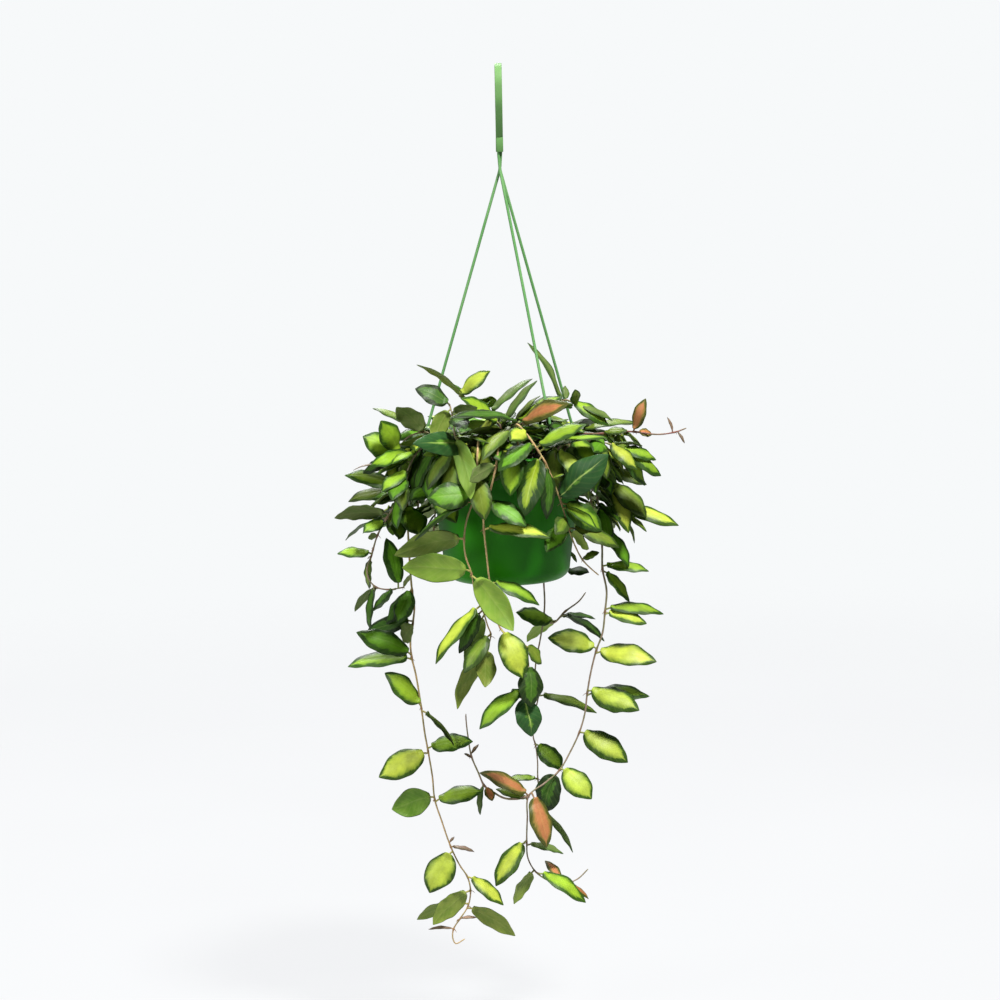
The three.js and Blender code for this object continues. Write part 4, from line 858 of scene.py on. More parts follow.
def leaf_frame(leaf, tip):
    """Where the blade starts, its length, and its directions along, out of the upper face and sideways."""
    whole = tip - leaf.base
    stalk = min(max(np.linalg.norm(whole) * STALK_SHARE, STALK_MIN), STALK_MAX)
    collar = leaf.base + unit(unit(whole) + UP * STALK_LIFT) * stalk
    chord = tip - collar
    length = np.linalg.norm(chord)
    along = chord / length
    toward = unit(leaf.outward - along * np.dot(leaf.outward, along))
    raised = np.cross(along, toward)
    if raised[2] < 0:
        raised = -raised
    turn = math.radians(leaf.turn)
    face = toward * math.cos(turn) + raised * math.sin(turn)
    return collar, length, along, face, np.cross(along, face)


def across_line(line, side, face):
    """Sideways and upward directions at each point of a leaf's midline."""
    tangents = np.gradient(line, axis=0)
    tangents /= np.linalg.norm(tangents, axis=1)[:, None]
    sides = side - tangents * (tangents @ side)[:, None]
    sides /= np.linalg.norm(sides, axis=1)[:, None]
    faces_up = np.cross(sides, tangents)
    if faces_up[-1] @ face < 0:
        faces_up = -faces_up
    return sides, faces_up


def leaf_surface(leaf, tip, foot, number):
    """Points and faces of a leaf on its stalk, and the place (along, across, upper side) of each point."""
    collar, length, along, face, side = leaf_frame(leaf, tip)
    sway, wave, fold, phase = (varied(number, salt) for salt in (1, 2, 3, 4))
    shares = np.array(BLADE_RINGS)
    middle = 4 * shares * (1 - shares)
    rise = BLADE_ARCH * length * middle + WAVE * length * wave * np.sin(3 * math.pi * shares) * middle
    drift = SWAY * length * sway * np.sin(2 * math.pi * shares) * middle
    blade_line = collar + np.outer(shares * length, along) + np.outer(rise, face) + np.outer(drift, side)
    stalk_line = foot + np.outer(STALK_RINGS, collar - foot)
    line = np.vstack([stalk_line, blade_line])
    share = np.concatenate([np.array(STALK_RINGS) - 1.0, shares])

    blade_share = np.clip(share, 0, 1)
    profile = np.sin(math.pi * blade_share ** 0.9) ** (0.46 + 0.34 * blade_share)
    thin = min(1, leaf.width / NARROW_LEAF)
    stalk_radius = STALK_RADIUS * max(LEAST_STALK, thin)
    stalk_width = stalk_radius * (0.85 + 0.25 * np.clip(-share, 0, 1) ** 4)
    flat = smooth(share, 0.0, FLAT_FROM)
    half = np.maximum(leaf.width / 2 * profile, stalk_width * (1 - flat) + SKIN)
    thick = BLADE_THICK * max(LEAST_BLADE, thin) * (1 - TIP_THINNING * smooth(share, 0.6, 1))

    v = ACROSS
    edge = np.sqrt(1 - 0.94 * v ** 4)
    bowl = (-RECURVE + FOLD * fold) * v ** 2
    groove = GROOVE * np.exp(-(v / GROOVE_WIDTH) ** 2)
    rib = RIB * np.exp(-(v / RIB_WIDTH) ** 2)
    angle = share[:, None] * (RIPPLES + RIPPLES_VARY * sway) + phase * 3 + v[None, :] * RIPPLE_LEAD
    ripple = np.sin(angle) * np.abs(v[None, :]) ** 3
    ripple *= RIPPLE * leaf.width * (1 - smooth(share, 0.85, 1))[:, None]
    round_x = np.sin(math.pi / 2 * v)
    round_y = np.cos(math.pi / 2 * v)
    f = flat[:, None]
    taper = (thick / BLADE_THICK)[:, None]
    across = half[:, None] * (f * v + (1 - f) * round_x)
    lift = f * (half[:, None] * bowl + ripple)
    upper = lift + f * taper * (BLADE_THICK / 2 * edge - groove) + (1 - f) * half[:, None] * round_y
    lower = lift - f * taper * (BLADE_THICK / 2 * edge + rib) - (1 - f) * half[:, None] * round_y
    rows = np.concatenate([across, across[:, -2:0:-1]], axis=1)
    heights = np.concatenate([upper, lower[:, -2:0:-1]], axis=1)
    sides, faces_up = across_line(line, side, face)
    rings = line[:, None, :] + rows[:, :, None] * sides[:, None, :]
    rings = rings + heights[:, :, None] * faces_up[:, None, :]
    points, faces = loft(rings, tip)

    v_row = np.concatenate([v, v[-2:0:-1]])
    top_row = np.concatenate([np.ones(len(v)), np.zeros(len(v) - 2)])
    place = np.stack([
        np.repeat(share, len(v_row)),
        np.tile(v_row, len(share)),
        np.tile(top_row, len(share)),
    ], axis=1)
    return points, faces, np.vstack([place, [1, 0, 1]])


def nearest(line, place):
    return line[np.argmin(np.linalg.norm(line - place, axis=1))]


def grow(form, stem, nodes, tone, number):
    """A stem's round skin, swollen and reddish at its nodes, with two stub roots at each."""
    line = curve_through(stem, STEM_STEP)
    share = np.linspace(0, 1, len(line))
    radii = STEM_RADIUS + (STEM_TIP_RADIUS - STEM_RADIUS) * share
    swell = np.zeros(len(line))
    for node in nodes:
        swell = np.maximum(swell, np.exp(-(np.linalg.norm(line - node, axis=1) / NODE_REACH) ** 2))
    uneven = 1 + STEM_UNEVEN * np.sin(np.arange(len(line)) * 1.7 + number)
    radii = radii * (1 + NODE_SWELLING * swell) * uneven
    radii[-1] *= 0.6
    points, faces = loft(tube_rings(line, radii, STEM_RING))
    redness = np.outer(np.repeat(swell, STEM_RING), (1, 0, 0))
    form.add(points, faces, 1, stem_tint=linear(STEM_TONES[tone]), redness=redness)
    for index, node in enumerate(nodes):
        for stub in range(2):
            spin = varied(number + index * 3 + stub, 7) * math.pi
            shortest, spare = STUB_LENGTHS
            reach = shortest + spare * (1 + varied(number + index * 5 + stub, 8))
            start = nearest(line, node + UP * STUB_APART * (stub - 0.5))
            way = unit(np.array([math.cos(spin), math.sin(spin), -STUB_FALL]))
            path = np.array([start, start + way * reach * 0.6, start + way * reach - UP * reach * 0.25])
            points, faces = loft(tube_rings(path, STUB_RADII, STUB_SIDES))
            form.add(points, faces, 1, stem_tint=linear(STEM_TONES[tone]), redness=(1, 0, 0))
    return line


def vine_nodes(stem, leaves):
    """The stem points that carry leaves, found by the stalks that start nearest to them."""
    if not leaves:
        return []
    bases = np.array([leaf.base for leaf in leaves])
    near = STALK_APART * 1.6
    return [node for node in stem[2:] if np.linalg.norm(bases - node, axis=1).min() < near]


def search_tree(places):
    tree = KDTree(len(places))
    for index, place in enumerate(places):
        tree.insert(place, index)
    tree.balance()
    return tree


def packed_leaves(vine):
    """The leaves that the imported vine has, each with its tip."""
    tree = search_tree([vertex.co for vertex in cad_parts[vine["name"]].data.vertices])
    kept = []
    for leaf in vine["leaves"]:
        tip = leaf.kept_tip(tree)
        if tip is not None:
            kept.append((leaf, tip))
    return kept


def add_leaf(form, leaf, surface, count, tone):
    points, faces, place = surface
    centre, margin, under, spread, ragged, rib = LOOKS[leaf.look]
    vary = 1 + SHADE_VARIES * varied(count, 5)
    warm = WARMTH_VARIES * varied(count, 6)
    shade = np.array([vary * (1 + warm), vary, vary * (1 - warm), 1.0])
    form.add(
        points, faces, 0,
        place=place,
        trait=(spread + SPREAD_VARIES * varied(count, 9), ragged, (count * 0.618) % 1 * 20),
        rib=(rib, 0.0, 0.0),
        centre_tint=np.array(linear(centre)) * shade,
        margin_tint=np.array(linear(margin)) * shade,
        under_tint=np.array(linear(under)) * shade,
        stem_tint=linear(STEM_TONES[tone]),
    )


def inner_leaf(line, draw):
    """A trial leaf in the crown, from somewhere along a stem, or None where the stem never passes it."""
    radius = np.hypot(line[:, 0], line[:, 1])
    over_soil = line[:, 2] > SOIL_Z + INNER_STEM_OVER_SOIL
    off_flange = radius > FLANGE_RADIUS + INNER_STEM_OFF_FLANGE
    in_crown = (radius < INNER_STEM_REACH) & (line[:, 2] > INNER_STEM_LOW)
    stretch = line[in_crown & (over_soil | off_flange)]
    if not len(stretch):
        return None
    base = stretch[int(draw((0, len(stretch) - 0.01)))]
    over_rim = math.hypot(base[0], base[1]) > RIM_ROOT_RADIUS
    kind = INNER_OVER_RIM if over_rim else INNER_ON_SOIL
    heading = draw(kind["heading"]) + (compass(base) if over_rim else 0)
    droop = draw(kind["droop"])
    turn = draw(kind["turn"])
    length = draw(INNER_LENGTH)
    width = draw(INNER_WIDTH)
    look = INNER_LOOKS[int(draw((0, len(INNER_LOOKS) - 0.01)))]
    return rule_leaf(base, heading, droop, length, width, turn, look)


def inside_crown(skin, base):
    """Whether a leaf's skin stays in the crown, which is wider and lower at its sides, and off the pot."""
    at_side = abs(base[0]) > INNER_SIDE
    radius = np.hypot(skin[:, 0], skin[:, 1])
    reach = INNER_SIDE_REACH if at_side else INNER_REACH
    bottom = INNER_SIDE_BOTTOM if at_side else INNER_BOTTOM
    if radius.max() > reach or skin[:, 2].max() > INNER_TOP or skin[:, 2].min() < bottom:
        return False
    return not ((radius < FLANGE_RADIUS + 1) & (skin[:, 2] < RIM_Z + 1)).any()


def near_any(tree, places):
    return any(tree.find(place)[2] < INNER_GAP for place in places)


def inner_leaves(vines):
    """Leaves that thicken the crown: those trial leaves that stay inside it and clear of all others."""
    skins = [surface[0][::CLOUD_STEP] for vine in vines for surface in vine["surfaces"]]
    stems = [line for vine in vines for line in vine["lines"]]
    tree = search_tree(np.vstack([*skins, *stems]))
    draw = Draws(INNER_SEED)
    added = np.zeros((0, 3))
    for vine in vines:
        for number in range(INNER_TRIALS):
            leaf = inner_leaf(vine["lines"][0], draw)
            if leaf is None:
                break
            tip = leaf.tips[0]
            chord = np.array([leaf.base + (tip - leaf.base) * share for share in CHORD_PROBES])
            if not inside_crown(chord, leaf.base) or near_any(tree, chord):
                continue
            surface = leaf_surface(leaf, tip, leaf.base, INNER_NUMBER + number)
            skin = surface[0][4 * len(ACROSS):]
            probe = skin[::PROBE_STEP]
            if not inside_crown(skin, leaf.base) or near_any(tree, probe):
                continue
            if len(added) and np.linalg.norm(added[:, None] - probe[None], axis=2).min() < INNER_GAP:
                continue
            added = np.vstack([added, probe])
            vine["inner"].append((leaf, surface))


def build_vines(leaf_look, stem_look):
    vines = [front_vine(row) for row in FRONT_VINES]
    vines += [back_vine(index, *row) for index, row in enumerate(BACK_VINES)]
    vines += [rim_shoot(index, *row) for index, row in enumerate(RIM_SHOOTS)]
    vines += [fill_shoot(index, *row) for index, row in enumerate(FILL_SHOOTS)]
    for number, vine in enumerate(vines, 1):
        vine["form"] = Form()
        vine["kept"] = packed_leaves(vine)
        vine["inner"] = []
        vine["lines"] = []
        for stem in vine["stems"]:
            nodes = vine_nodes(stem, [leaf for leaf, _ in vine["kept"]])
            vine["lines"].append(grow(vine["form"], stem, nodes, vine["tone"], number))
        every = np.vstack(vine["lines"])
        vine["surfaces"] = [
            leaf_surface(leaf, tip, nearest(every, leaf.base), number * 31 + index)
            for index, (leaf, tip) in enumerate(vine["kept"])
        ]
    inner_leaves(vines)
    for number, vine in enumerate(vines, 1):
        leaves = [(leaf, surface) for (leaf, _), surface in zip(vine["kept"], vine["surfaces"])]
        for index, (leaf, surface) in enumerate(leaves + vine["inner"]):
            add_leaf(vine["form"], leaf, surface, number * 31 + index, vine["tone"])
        vine["form"].piece(f"leafy_{vine['name']}", (leaf_look, stem_look), "foliage", [vine["name"]])
    made = [sum(len(vine[key]) for vine in vines) for key in ("leaves", "kept", "inner")]
    print("leaves in the tables, packed and added inside:", *made)


# Materials

class Nodes:
    """A new material's node tree, with short calls for the nodes that the looks here are made of."""

    def __init__(self, name):
        self.material = bpy.data.materials.new(name)
        self.material.use_nodes = True
        self.tree = self.material.node_tree
        self.shader = self.tree.nodes["Principled BSDF"]
        self.output = self.tree.nodes["Material Output"]

    def node(self, kind, **settings):
        made = self.tree.nodes.new(kind)
        for key, value in settings.items():
            setattr(made, key, value)
        return made

    def join(self, source, target):
        if isinstance(source, (int, float, tuple)):
            target.default_value = source
        else:
            self.tree.links.new(source, target)

    def math(self, operation, *values):
        made = self.node("ShaderNodeMath", operation=operation)
        for value, socket in zip(values, made.inputs):
            self.join(value, socket)
        return made.outputs[0]

    def times(self, first, second):
        return self.math("MULTIPLY", first, second)

    def plus(self, first, second):
        return self.math("ADD", first, second)

    def less(self, first, second):
        return self.math("SUBTRACT", first, second)

    def ease(self, value, low, high, start=0.0, end=1.0):
        """Start where the value is low, end where it is high, and a smooth change between."""
        made = self.node("ShaderNodeMapRange", interpolation_type="SMOOTHSTEP")
        for source, socket in zip((value, low, high, start, end), made.inputs):
            self.join(source, socket)
        return made.outputs[0]

    def mix(self, share, first, second, blend="MIX"):
        made = self.node("ShaderNodeMix", data_type="RGBA", blend_type=blend)
        self.join(share, made.inputs[0])
        self.join(first, made.inputs[6])
        self.join(second, made.inputs[7])
        return made.outputs[2]

    def noise(self, vector, scale, detail, roughness):
        made = self.node("ShaderNodeTexNoise")
        self.join(vector, made.inputs["Vector"])
        made.inputs["Scale"].default_value = scale
        made.inputs["Detail"].default_value = detail
        made.inputs["Roughness"].default_value = roughness
        return made.outputs[0]

    def attribute(self, name):
        return self.node("ShaderNodeAttribute", attribute_name=name)

    def split(self, vector):
        made = self.node("ShaderNodeSeparateXYZ")
        self.join(vector, made.inputs[0])
        return made.outputs

    def merge(self, x, y, z):
        made = self.node("ShaderNodeCombineXYZ")
        for value, socket in zip((x, y, z), made.inputs):
            self.join(value, socket)
        return made.outputs[0]

    def position(self):
        return self.node("ShaderNodeTexCoord").outputs["Object"]

    def bump(self, height, strength, distance, below=None):
        made = self.node("ShaderNodeBump")
        made.inputs["Strength"].default_value = strength
        made.inputs["Distance"].default_value = distance
        self.join(height, made.inputs["Height"])
        if below is not None:
            self.join(below, made.inputs["Normal"])
        return made.outputs[0]

    def set(self, **values):
        for name, value in values.items():
            self.join(value, self.shader.inputs[name.replace("_", " ")])


def rgb(*screen):
    return tuple(linear(screen))


def leaf_material():
    n = Nodes("hoya_leaf")
    u, v, top = n.split(n.attribute("place").outputs["Vector"])
    spread, ragged, seed = n.split(n.attribute("trait").outputs["Vector"])
    rib = n.split(n.attribute("rib").outputs["Vector"])[0]
    centre = n.attribute("centre_tint").outputs["Color"]
    margin = n.attribute("margin_tint").outputs["Color"]
    under = n.attribute("under_tint").outputs["Color"]
    position = n.position()
    away = n.math("ABSOLUTE", v)
    slant = n.math("MULTIPLY_ADD", away, -0.3, u)

    # Streaks that follow the side veins push the edge of the pale centre in and out
    streaks = n.noise(n.merge(slant, n.times(v, 0.16), seed), 15, 3, 0.55)
    broad = n.noise(n.merge(n.times(u, 3.0), v, seed), 1.6, 2, 0.5)
    push = n.times(n.less(n.plus(streaks, n.times(broad, 1.2)), 1.1), ragged)
    ends = n.plus(n.ease(u, 0.7, 1.02, 0.0, 0.75), n.ease(u, 0.0, 0.16, 0.3, 0.0))
    past_edge = n.less(n.plus(n.plus(away, ends), push), spread)
    between = n.mix(0.35, n.mix(0.5, centre, margin), rgb(84, 130, 30))
    upper = n.mix(n.times(n.ease(past_edge, -0.3, 0.04), 0.8), centre, between)
    upper = n.mix(n.ease(past_edge, -0.03, 0.17), upper, margin)

    # Faint side veins, a pale midrib and small flecks
    lines = n.math("POWER", n.math("ABSOLUTE", n.math("SINE", n.times(slant, 24.0))), 14.0)
    fleck = n.noise(position, 620, 2, 0.5)
    upper = n.mix(n.times(lines, 0.03), upper, rgb(188, 200, 120))
    upper = n.mix(n.times(n.ease(fleck, 0.56, 0.7), 0.16), upper, margin)
    ridge = n.less(1.0, n.ease(away, 0.015, 0.07))
    pale_rib = n.times(ridge, n.times(rib, n.ease(u, 0.98, 0.6)))
    upper = n.mix(pale_rib, upper, rgb(196, 212, 124))
    cloud = n.noise(position, 90, 3, 0.5)
    shade = n.ease(cloud, 0.3, 0.72, 0.84, 1.14)
    upper = n.mix(1.0, upper, n.merge(shade, shade, shade), "MULTIPLY")

    lower = n.mix(n.times(n.ease(broad, 0.4, 0.65), 0.5), under, between)
    lower = n.mix(n.times(lines, 0.06), lower, rgb(176, 186, 120))
    lower = n.mix(n.times(ridge, 0.12), lower, rgb(170, 180, 110))
    colour = n.mix(n.ease(top, 0.2, 0.5), lower, upper)
    colour = n.mix(n.times(n.ease(away, 0.955, 1.0), 0.5), colour, rgb(34, 46, 18))
    stalk_tint = n.mix(0.45, under, n.attribute("stem_tint").outputs["Color"])
    colour = n.mix(n.ease(u, 0.03, -0.06), colour, stalk_tint)

    felt = n.noise(position, 2600, 2, 0.6)
    cells = n.noise(position, 900, 3, 0.6)
    fine = n.bump(n.plus(n.times(cells, 0.6), n.times(felt, 0.4)), 0.1, 0.0003)
    veins = n.bump(lines, 0.08, 0.0004, fine)
    n.set(
        Base_Color=colour,
        Roughness=n.ease(cells, 0.25, 0.75, 0.4, 0.56),
        Specular_IOR_Level=0.22,
        Sheen_Weight=0.03,
        Sheen_Roughness=0.5,
        Sheen_Tint=rgb(205, 220, 170),
        Normal=veins,
    )
    return n.material


def stem_material():
    n = Nodes("hoya_stem")
    tint = n.attribute("stem_tint").outputs["Color"]
    redness = n.split(n.attribute("redness").outputs["Vector"])[0]
    position = n.position()
    fibres = n.noise(position, 700, 4, 0.65)
    patches = n.noise(position, 70, 2, 0.5)
    colour = n.mix(n.ease(patches, 0.4, 0.62), tint, n.mix(0.5, tint, rgb(104, 118, 66)))
    colour = n.mix(n.times(redness, 0.65), colour, rgb(120, 74, 50))
    colour = n.mix(n.times(n.ease(fibres, 0.45, 0.7), 0.45), colour, rgb(76, 58, 42))
    n.set(
        Base_Color=colour,
        Roughness=n.ease(fibres, 0.3, 0.7, 0.5, 0.72),
        Specular_IOR_Level=0.35,
        Sheen_Weight=0.2,
        Sheen_Roughness=0.4,
        Normal=n.bump(fibres, 0.35, 0.0005),
    )
    return n.material


def plastic_material(name):
    main, dark, light, roughness, grain = PLASTICS[name]
    n = Nodes(name)
    position = n.position()
    broad = n.noise(position, 14, 2, 0.5)
    peel = n.noise(position, grain, 2, 0.5)
    x, y, z = n.split(position)
    scuff = n.noise(n.merge(x, y, n.times(z, 6)), 120, 4, 0.7)
    colour = n.mix(n.ease(broad, 0.35, 0.65), rgb(*dark), rgb(*main))
    marks = n.ease(scuff, 0.66, 0.78)
    colour = n.mix(n.times(marks, 0.3), colour, rgb(*light))
    even = n.ease(peel, 0.3, 0.7, roughness - 0.04, roughness + 0.05)
    n.set(
        Base_Color=colour,
        Roughness=n.plus(even, n.times(marks, 0.15)),
        Specular_IOR_Level=0.14,
        Normal=n.bump(peel, 0.08, 0.0006),
    )
    return n.material


def soil_material():
    n = Nodes("potting_mix")
    position = n.position()
    crumbs = n.noise(position, 260, 5, 0.7)
    damp = n.noise(position, 40, 3, 0.5)
    colour = n.mix(n.ease(crumbs, 0.35, 0.7), rgb(30, 22, 16), rgb(84, 62, 44))
    colour = n.mix(n.times(n.ease(damp, 0.4, 0.6), 0.5), colour, rgb(38, 28, 20))
    n.set(Base_Color=colour, Roughness=0.95, Normal=n.bump(crumbs, 0.9, 0.002))
    return n.material


def grain_material(name, pale, dark):
    n = Nodes(name)
    spots = n.noise(n.position(), 900, 3, 0.6)
    n.set(
        Base_Color=n.mix(n.ease(spots, 0.4, 0.65), pale, dark),
        Roughness=0.9,
        Normal=n.bump(spots, 0.5, 0.0006),
    )
    return n.material


# Pot, potting mix, hook and wires

def turned(profile, sides):
    """Points and faces of a closed body turned about Z. The profile starts and ends on the axis."""
    turns = np.arange(sides) * 2 * math.pi / sides
    rings = [
        np.stack([radius * np.cos(turns), radius * np.sin(turns), np.full(sides, z)], 1)
        for radius, z in profile[1:-1]
    ]
    points = np.vstack([*rings, [[0, 0, profile[0][1]], [0, 0, profile[-1][1]]]])
    faces = []
    for i in range(len(rings) - 1):
        for k in range(sides):
            after = (k + 1) % sides
            faces.append([i * sides + k, i * sides + after, (i + 1) * sides + after, (i + 1) * sides + k])
    last = (len(rings) - 1) * sides
    low = len(points) - 2
    for k in range(sides):
        after = (k + 1) % sides
        faces.append([low, after, k])
        faces.append([low + 1, last + k, last + after])
    return points, faces


def arc(centre_r, centre_z, radius, start, end, steps):
    angles = [math.radians(start + (end - start) * k / steps) for k in range(steps + 1)]
    return [(centre_r + radius * math.cos(angle), centre_z + radius * math.sin(angle)) for angle in angles]


def wall_radius(z):
    low = BASE_Z + POT_CORNER
    low_radius = POT_BASE_RADIUS + POT_CORNER
    return low_radius + (POT_TOP_RADIUS - low_radius) * (z - low) / (RIM_Z - low)


def rod(centre, radius, height, sides=24):
    """Upright closed cylinder, for cutting holes."""
    half = height / 2
    points, faces = turned([(0, -half), (radius, -half), (radius, half), (0, half)], sides)
    return points + np.array(centre), faces


def bored(piece, holes):
    """Cuts the holes out of a piece and keeps the result in its mesh."""
    form = Form()
    for hole in holes:
        form.add(*hole)
    mesh = bpy.data.meshes.new("holes")
    mesh.from_pydata((np.vstack(form.points) * MM).tolist(), [], form.faces)
    cutter = bpy.data.objects.new("holes", mesh)
    bpy.context.scene.collection.objects.link(cutter)
    cut = piece.modifiers.new("holes", "BOOLEAN")
    cut.operation = "DIFFERENCE"
    cut.solver = "EXACT"
    cut.object = cutter
    bpy.context.view_layer.update()
    whole = piece.evaluated_get(bpy.context.evaluated_depsgraph_get())
    made = bpy.data.meshes.new_from_object(whole)
    piece.modifiers.clear()
    piece.data = made
    bpy.data.objects.remove(cutter)
    piece.data.set_sharp_from_angle(angle=math.radians(32))


def build_pot(look):
    under = RIM_Z - FLANGE_THICK
    lip = FLANGE_THICK / 2
    corner = POT_CORNER - POT_WALL
    inner = POT_TOP_RADIUS - POT_WALL
    floor = BASE_Z + POT_WALL
    outer_heights = np.linspace(BASE_Z + POT_CORNER + 2, under - 1.5, POT_OUTER_RINGS)
    inner_heights = np.linspace(RIM_Z - 3, BASE_Z + POT_CORNER, POT_INNER_RINGS)
    profile = [(radius, BASE_Z) for radius in POT_BASE_RINGS]
    profile += arc(POT_BASE_RADIUS, BASE_Z + POT_CORNER, POT_CORNER, -90, -2, 12)
    profile += [(wall_radius(z), z) for z in outer_heights]
    profile += [(wall_radius(under) + out, under - below) for out, below in POT_FILLET]
    profile += arc(FLANGE_RADIUS - lip, RIM_Z - lip, lip, -90, 90, 8)
    profile += [(POT_TOP_RADIUS, RIM_Z), (inner + RIM_BREAK, RIM_Z), (inner, RIM_Z - RIM_BREAK)]
    profile += [(wall_radius(z) - POT_WALL, z) for z in inner_heights]
    profile += arc(POT_BASE_RADIUS, BASE_Z + POT_CORNER, corner, -8, -90, 8)
    profile += [(DRAIN_CIRCLE, floor), (0, floor)]
    form = Form()
    form.add(*turned(profile, POT_SIDES))
    pot = form.piece("planter", (look,), "pot", ["pot"])
    hangs = [polar(HANG_RADIUS, degrees, RIM_Z) for degrees in HANG_ANGLES.values()]
    drains = [polar(DRAIN_CIRCLE, (i + 0.5) * 360 / DRAIN_COUNT, BASE_Z) for i in range(DRAIN_COUNT)]
    holes = [rod(centre, WIRE_RADIUS + HANG_HOLE_GAP, BORE_HEIGHT) for centre in hangs]
    holes += [rod(centre, DRAIN_RADIUS, BORE_HEIGHT) for centre in drains]
    bored(pot, holes)


def build_soil(look, perlite, bark):
    form = Form()
    wall = wall_radius(SOIL_Z) - POT_WALL - SOIL_GAP
    corner = POT_CORNER - POT_WALL - SOIL_GAP
    low = BASE_Z + POT_WALL + SOIL_GAP
    top = SOIL_Z - SOIL_SUNK
    profile = [(0, low), (POT_BASE_RADIUS - 4, low)]
    profile += arc(POT_BASE_RADIUS, low + corner, corner, -90, 0, 5)
    profile += [(wall, SOIL_Z - 3)]
    profile += [(wall * (1 - k / SOIL_RINGS), top) for k in range(SOIL_RINGS + 1)]
    points, faces = turned(profile, SOIL_SIDES)
    for point in points:
        if point[2] > top - 0.5:
            lump = noise.fractal(Vector(point) * LUMP_SCALE, 0.8, 2.0, 4)
            edge = 1 - smooth(math.hypot(point[0], point[1]), wall - LUMP_EDGE, wall)
            point[2] += LUMP_HEIGHT * lump * edge
    form.add(points, faces, 0)
    draw = Draws(GRAIN_SEED)
    for index in range(GRAIN_COUNT):
        is_bark = index % BARK_EVERY == 0
        radius = GRAIN_REACH * math.sqrt(draw((0, 1)))
        centre = polar(radius, draw((0, 360)), SOIL_Z - GRAIN_SUNK)
        size = draw(BARK_SIZE if is_bark else PERLITE_SIZE)
        stretch = BARK_STRETCH if is_bark else [draw(limits) for limits in PERLITE_STRETCH]
        form.add(*pebble(centre, size, np.array(stretch), draw((0, 6))), 2 if is_bark else 1)
    form.piece("potting_mix", (look, perlite, bark), "potting_mix", ["soil"])


def pebble(centre, size, stretch, seed):
    """An uneven pebble: a coarse ball pushed in and out by noise."""
    profile = [(0, -1)] + arc(0, 0, 1, -60, 60, 4) + [(0, 1)]
    points, faces = turned(profile, 9)
    spin = Matrix.Rotation(seed * 3, 3, "Z") @ Matrix.Rotation(seed * 0.07, 3, "X")
    shaped = []
    for point in points:
        push = 1 + 0.3 * noise.noise(Vector(point) * 1.4 + Vector((seed * 7, 0, 0)))
        shaped.append(spin @ Vector(np.array(point) * push * size * stretch))
    return np.array(shaped) + centre, faces


def rounded_prism(outline, half_width, bevel):
    """Closed bar along X with the given (y, z) outline and its long edges rounded."""
    points = np.array(outline)
    before = points - np.roll(points, 1, axis=0)
    after = np.roll(points, -1, axis=0) - points
    before /= np.linalg.norm(before, axis=1)[:, None]
    after /= np.linalg.norm(after, axis=1)[:, None]
    normal = np.stack([before[:, 1] + after[:, 1], -(before[:, 0] + after[:, 0])], 1)
    normal /= np.linalg.norm(normal, axis=1)[:, None]
    spread = 1 / np.maximum(0.5, np.sum(normal * np.stack([after[:, 1], -after[:, 0]], 1), axis=1))
    rings = []
    for share in BEVEL_SHARES:
        inset = bevel * (1 - math.sqrt(1 - (1 - share) ** 2))
        x = -half_width + bevel * share
        flat = points - normal * (inset * spread)[:, None]
        rings.append(np.column_stack([np.full(len(points), x), flat]))
    mirrored = [ring * np.array([-1, 1, 1]) for ring in rings[::-1]]
    return loft(np.array(rings + mirrored))


def hook_outline():
    """The strip's (y, z) outline: its tip, the bend over the seat, and the shank that slants back."""
    inner = HOOK_INNER_RADIUS
    outer = inner + HOOK_THICK
    blunt = HOOK_TIP_BLUNT
    outline = [(inner, HOOK_TIP_Z + 2 * blunt), (inner + blunt, HOOK_TIP_Z)]
    outline += [(outer - blunt, HOOK_TIP_Z), (outer, HOOK_TIP_Z + 2 * blunt), (outer, HOOK_BEND_Z - 2)]
    outline += [*arc(0, -inner, outer, 0, 180, HOOK_ARC_STEPS), (-outer, HOOK_BEND_Z)]
    outline += [(-outer, HOOK_SHANK_Z), (-HOOK_THICK, BLOCK_TOP_Z - STRIP_TUCK)]
    outline += [(HOOK_THICK, BLOCK_TOP_Z - STRIP_TUCK), (HOOK_THICK / 2, BLOCK_TOP_Z + STRIP_FOOT)]
    outline += [(-inner, HOOK_SHANK_Z - SHANK_STEP), (-inner, HOOK_BEND_Z)]
    return outline + [*arc(0, -inner, inner, 180, 0, HOOK_ARC_STEPS), (inner, HOOK_BEND_Z - 2)]


def block_rings():
    """Level rings up the block, with its upright edges rounded and its ends drawn in."""
    plan = []
    for x, y, start in ((1, 1, 0), (-1, 1, 90), (-1, -1, 180), (1, -1, 270)):
        corner_x = x * (BLOCK_HALF_WIDTH - BLOCK_ROUNDING)
        corner_y = y * (BLOCK_HALF_DEPTH - BLOCK_ROUNDING)
        plan += arc(corner_x, corner_y, BLOCK_ROUNDING, start, start + 90, 6)
    plan = np.array(plan)
    half = np.array([BLOCK_HALF_WIDTH, BLOCK_HALF_DEPTH])
    insets = [(inset, BLOCK_BOTTOM_Z + rise) for inset, rise in BLOCK_LOW_INSETS]
    insets += [(inset, BLOCK_TOP_Z - fall) for inset, fall in BLOCK_HIGH_INSETS]
    return np.array([
        np.column_stack([plan * (1 - inset / half), np.full(len(plan), z)]) for inset, z in insets
    ])


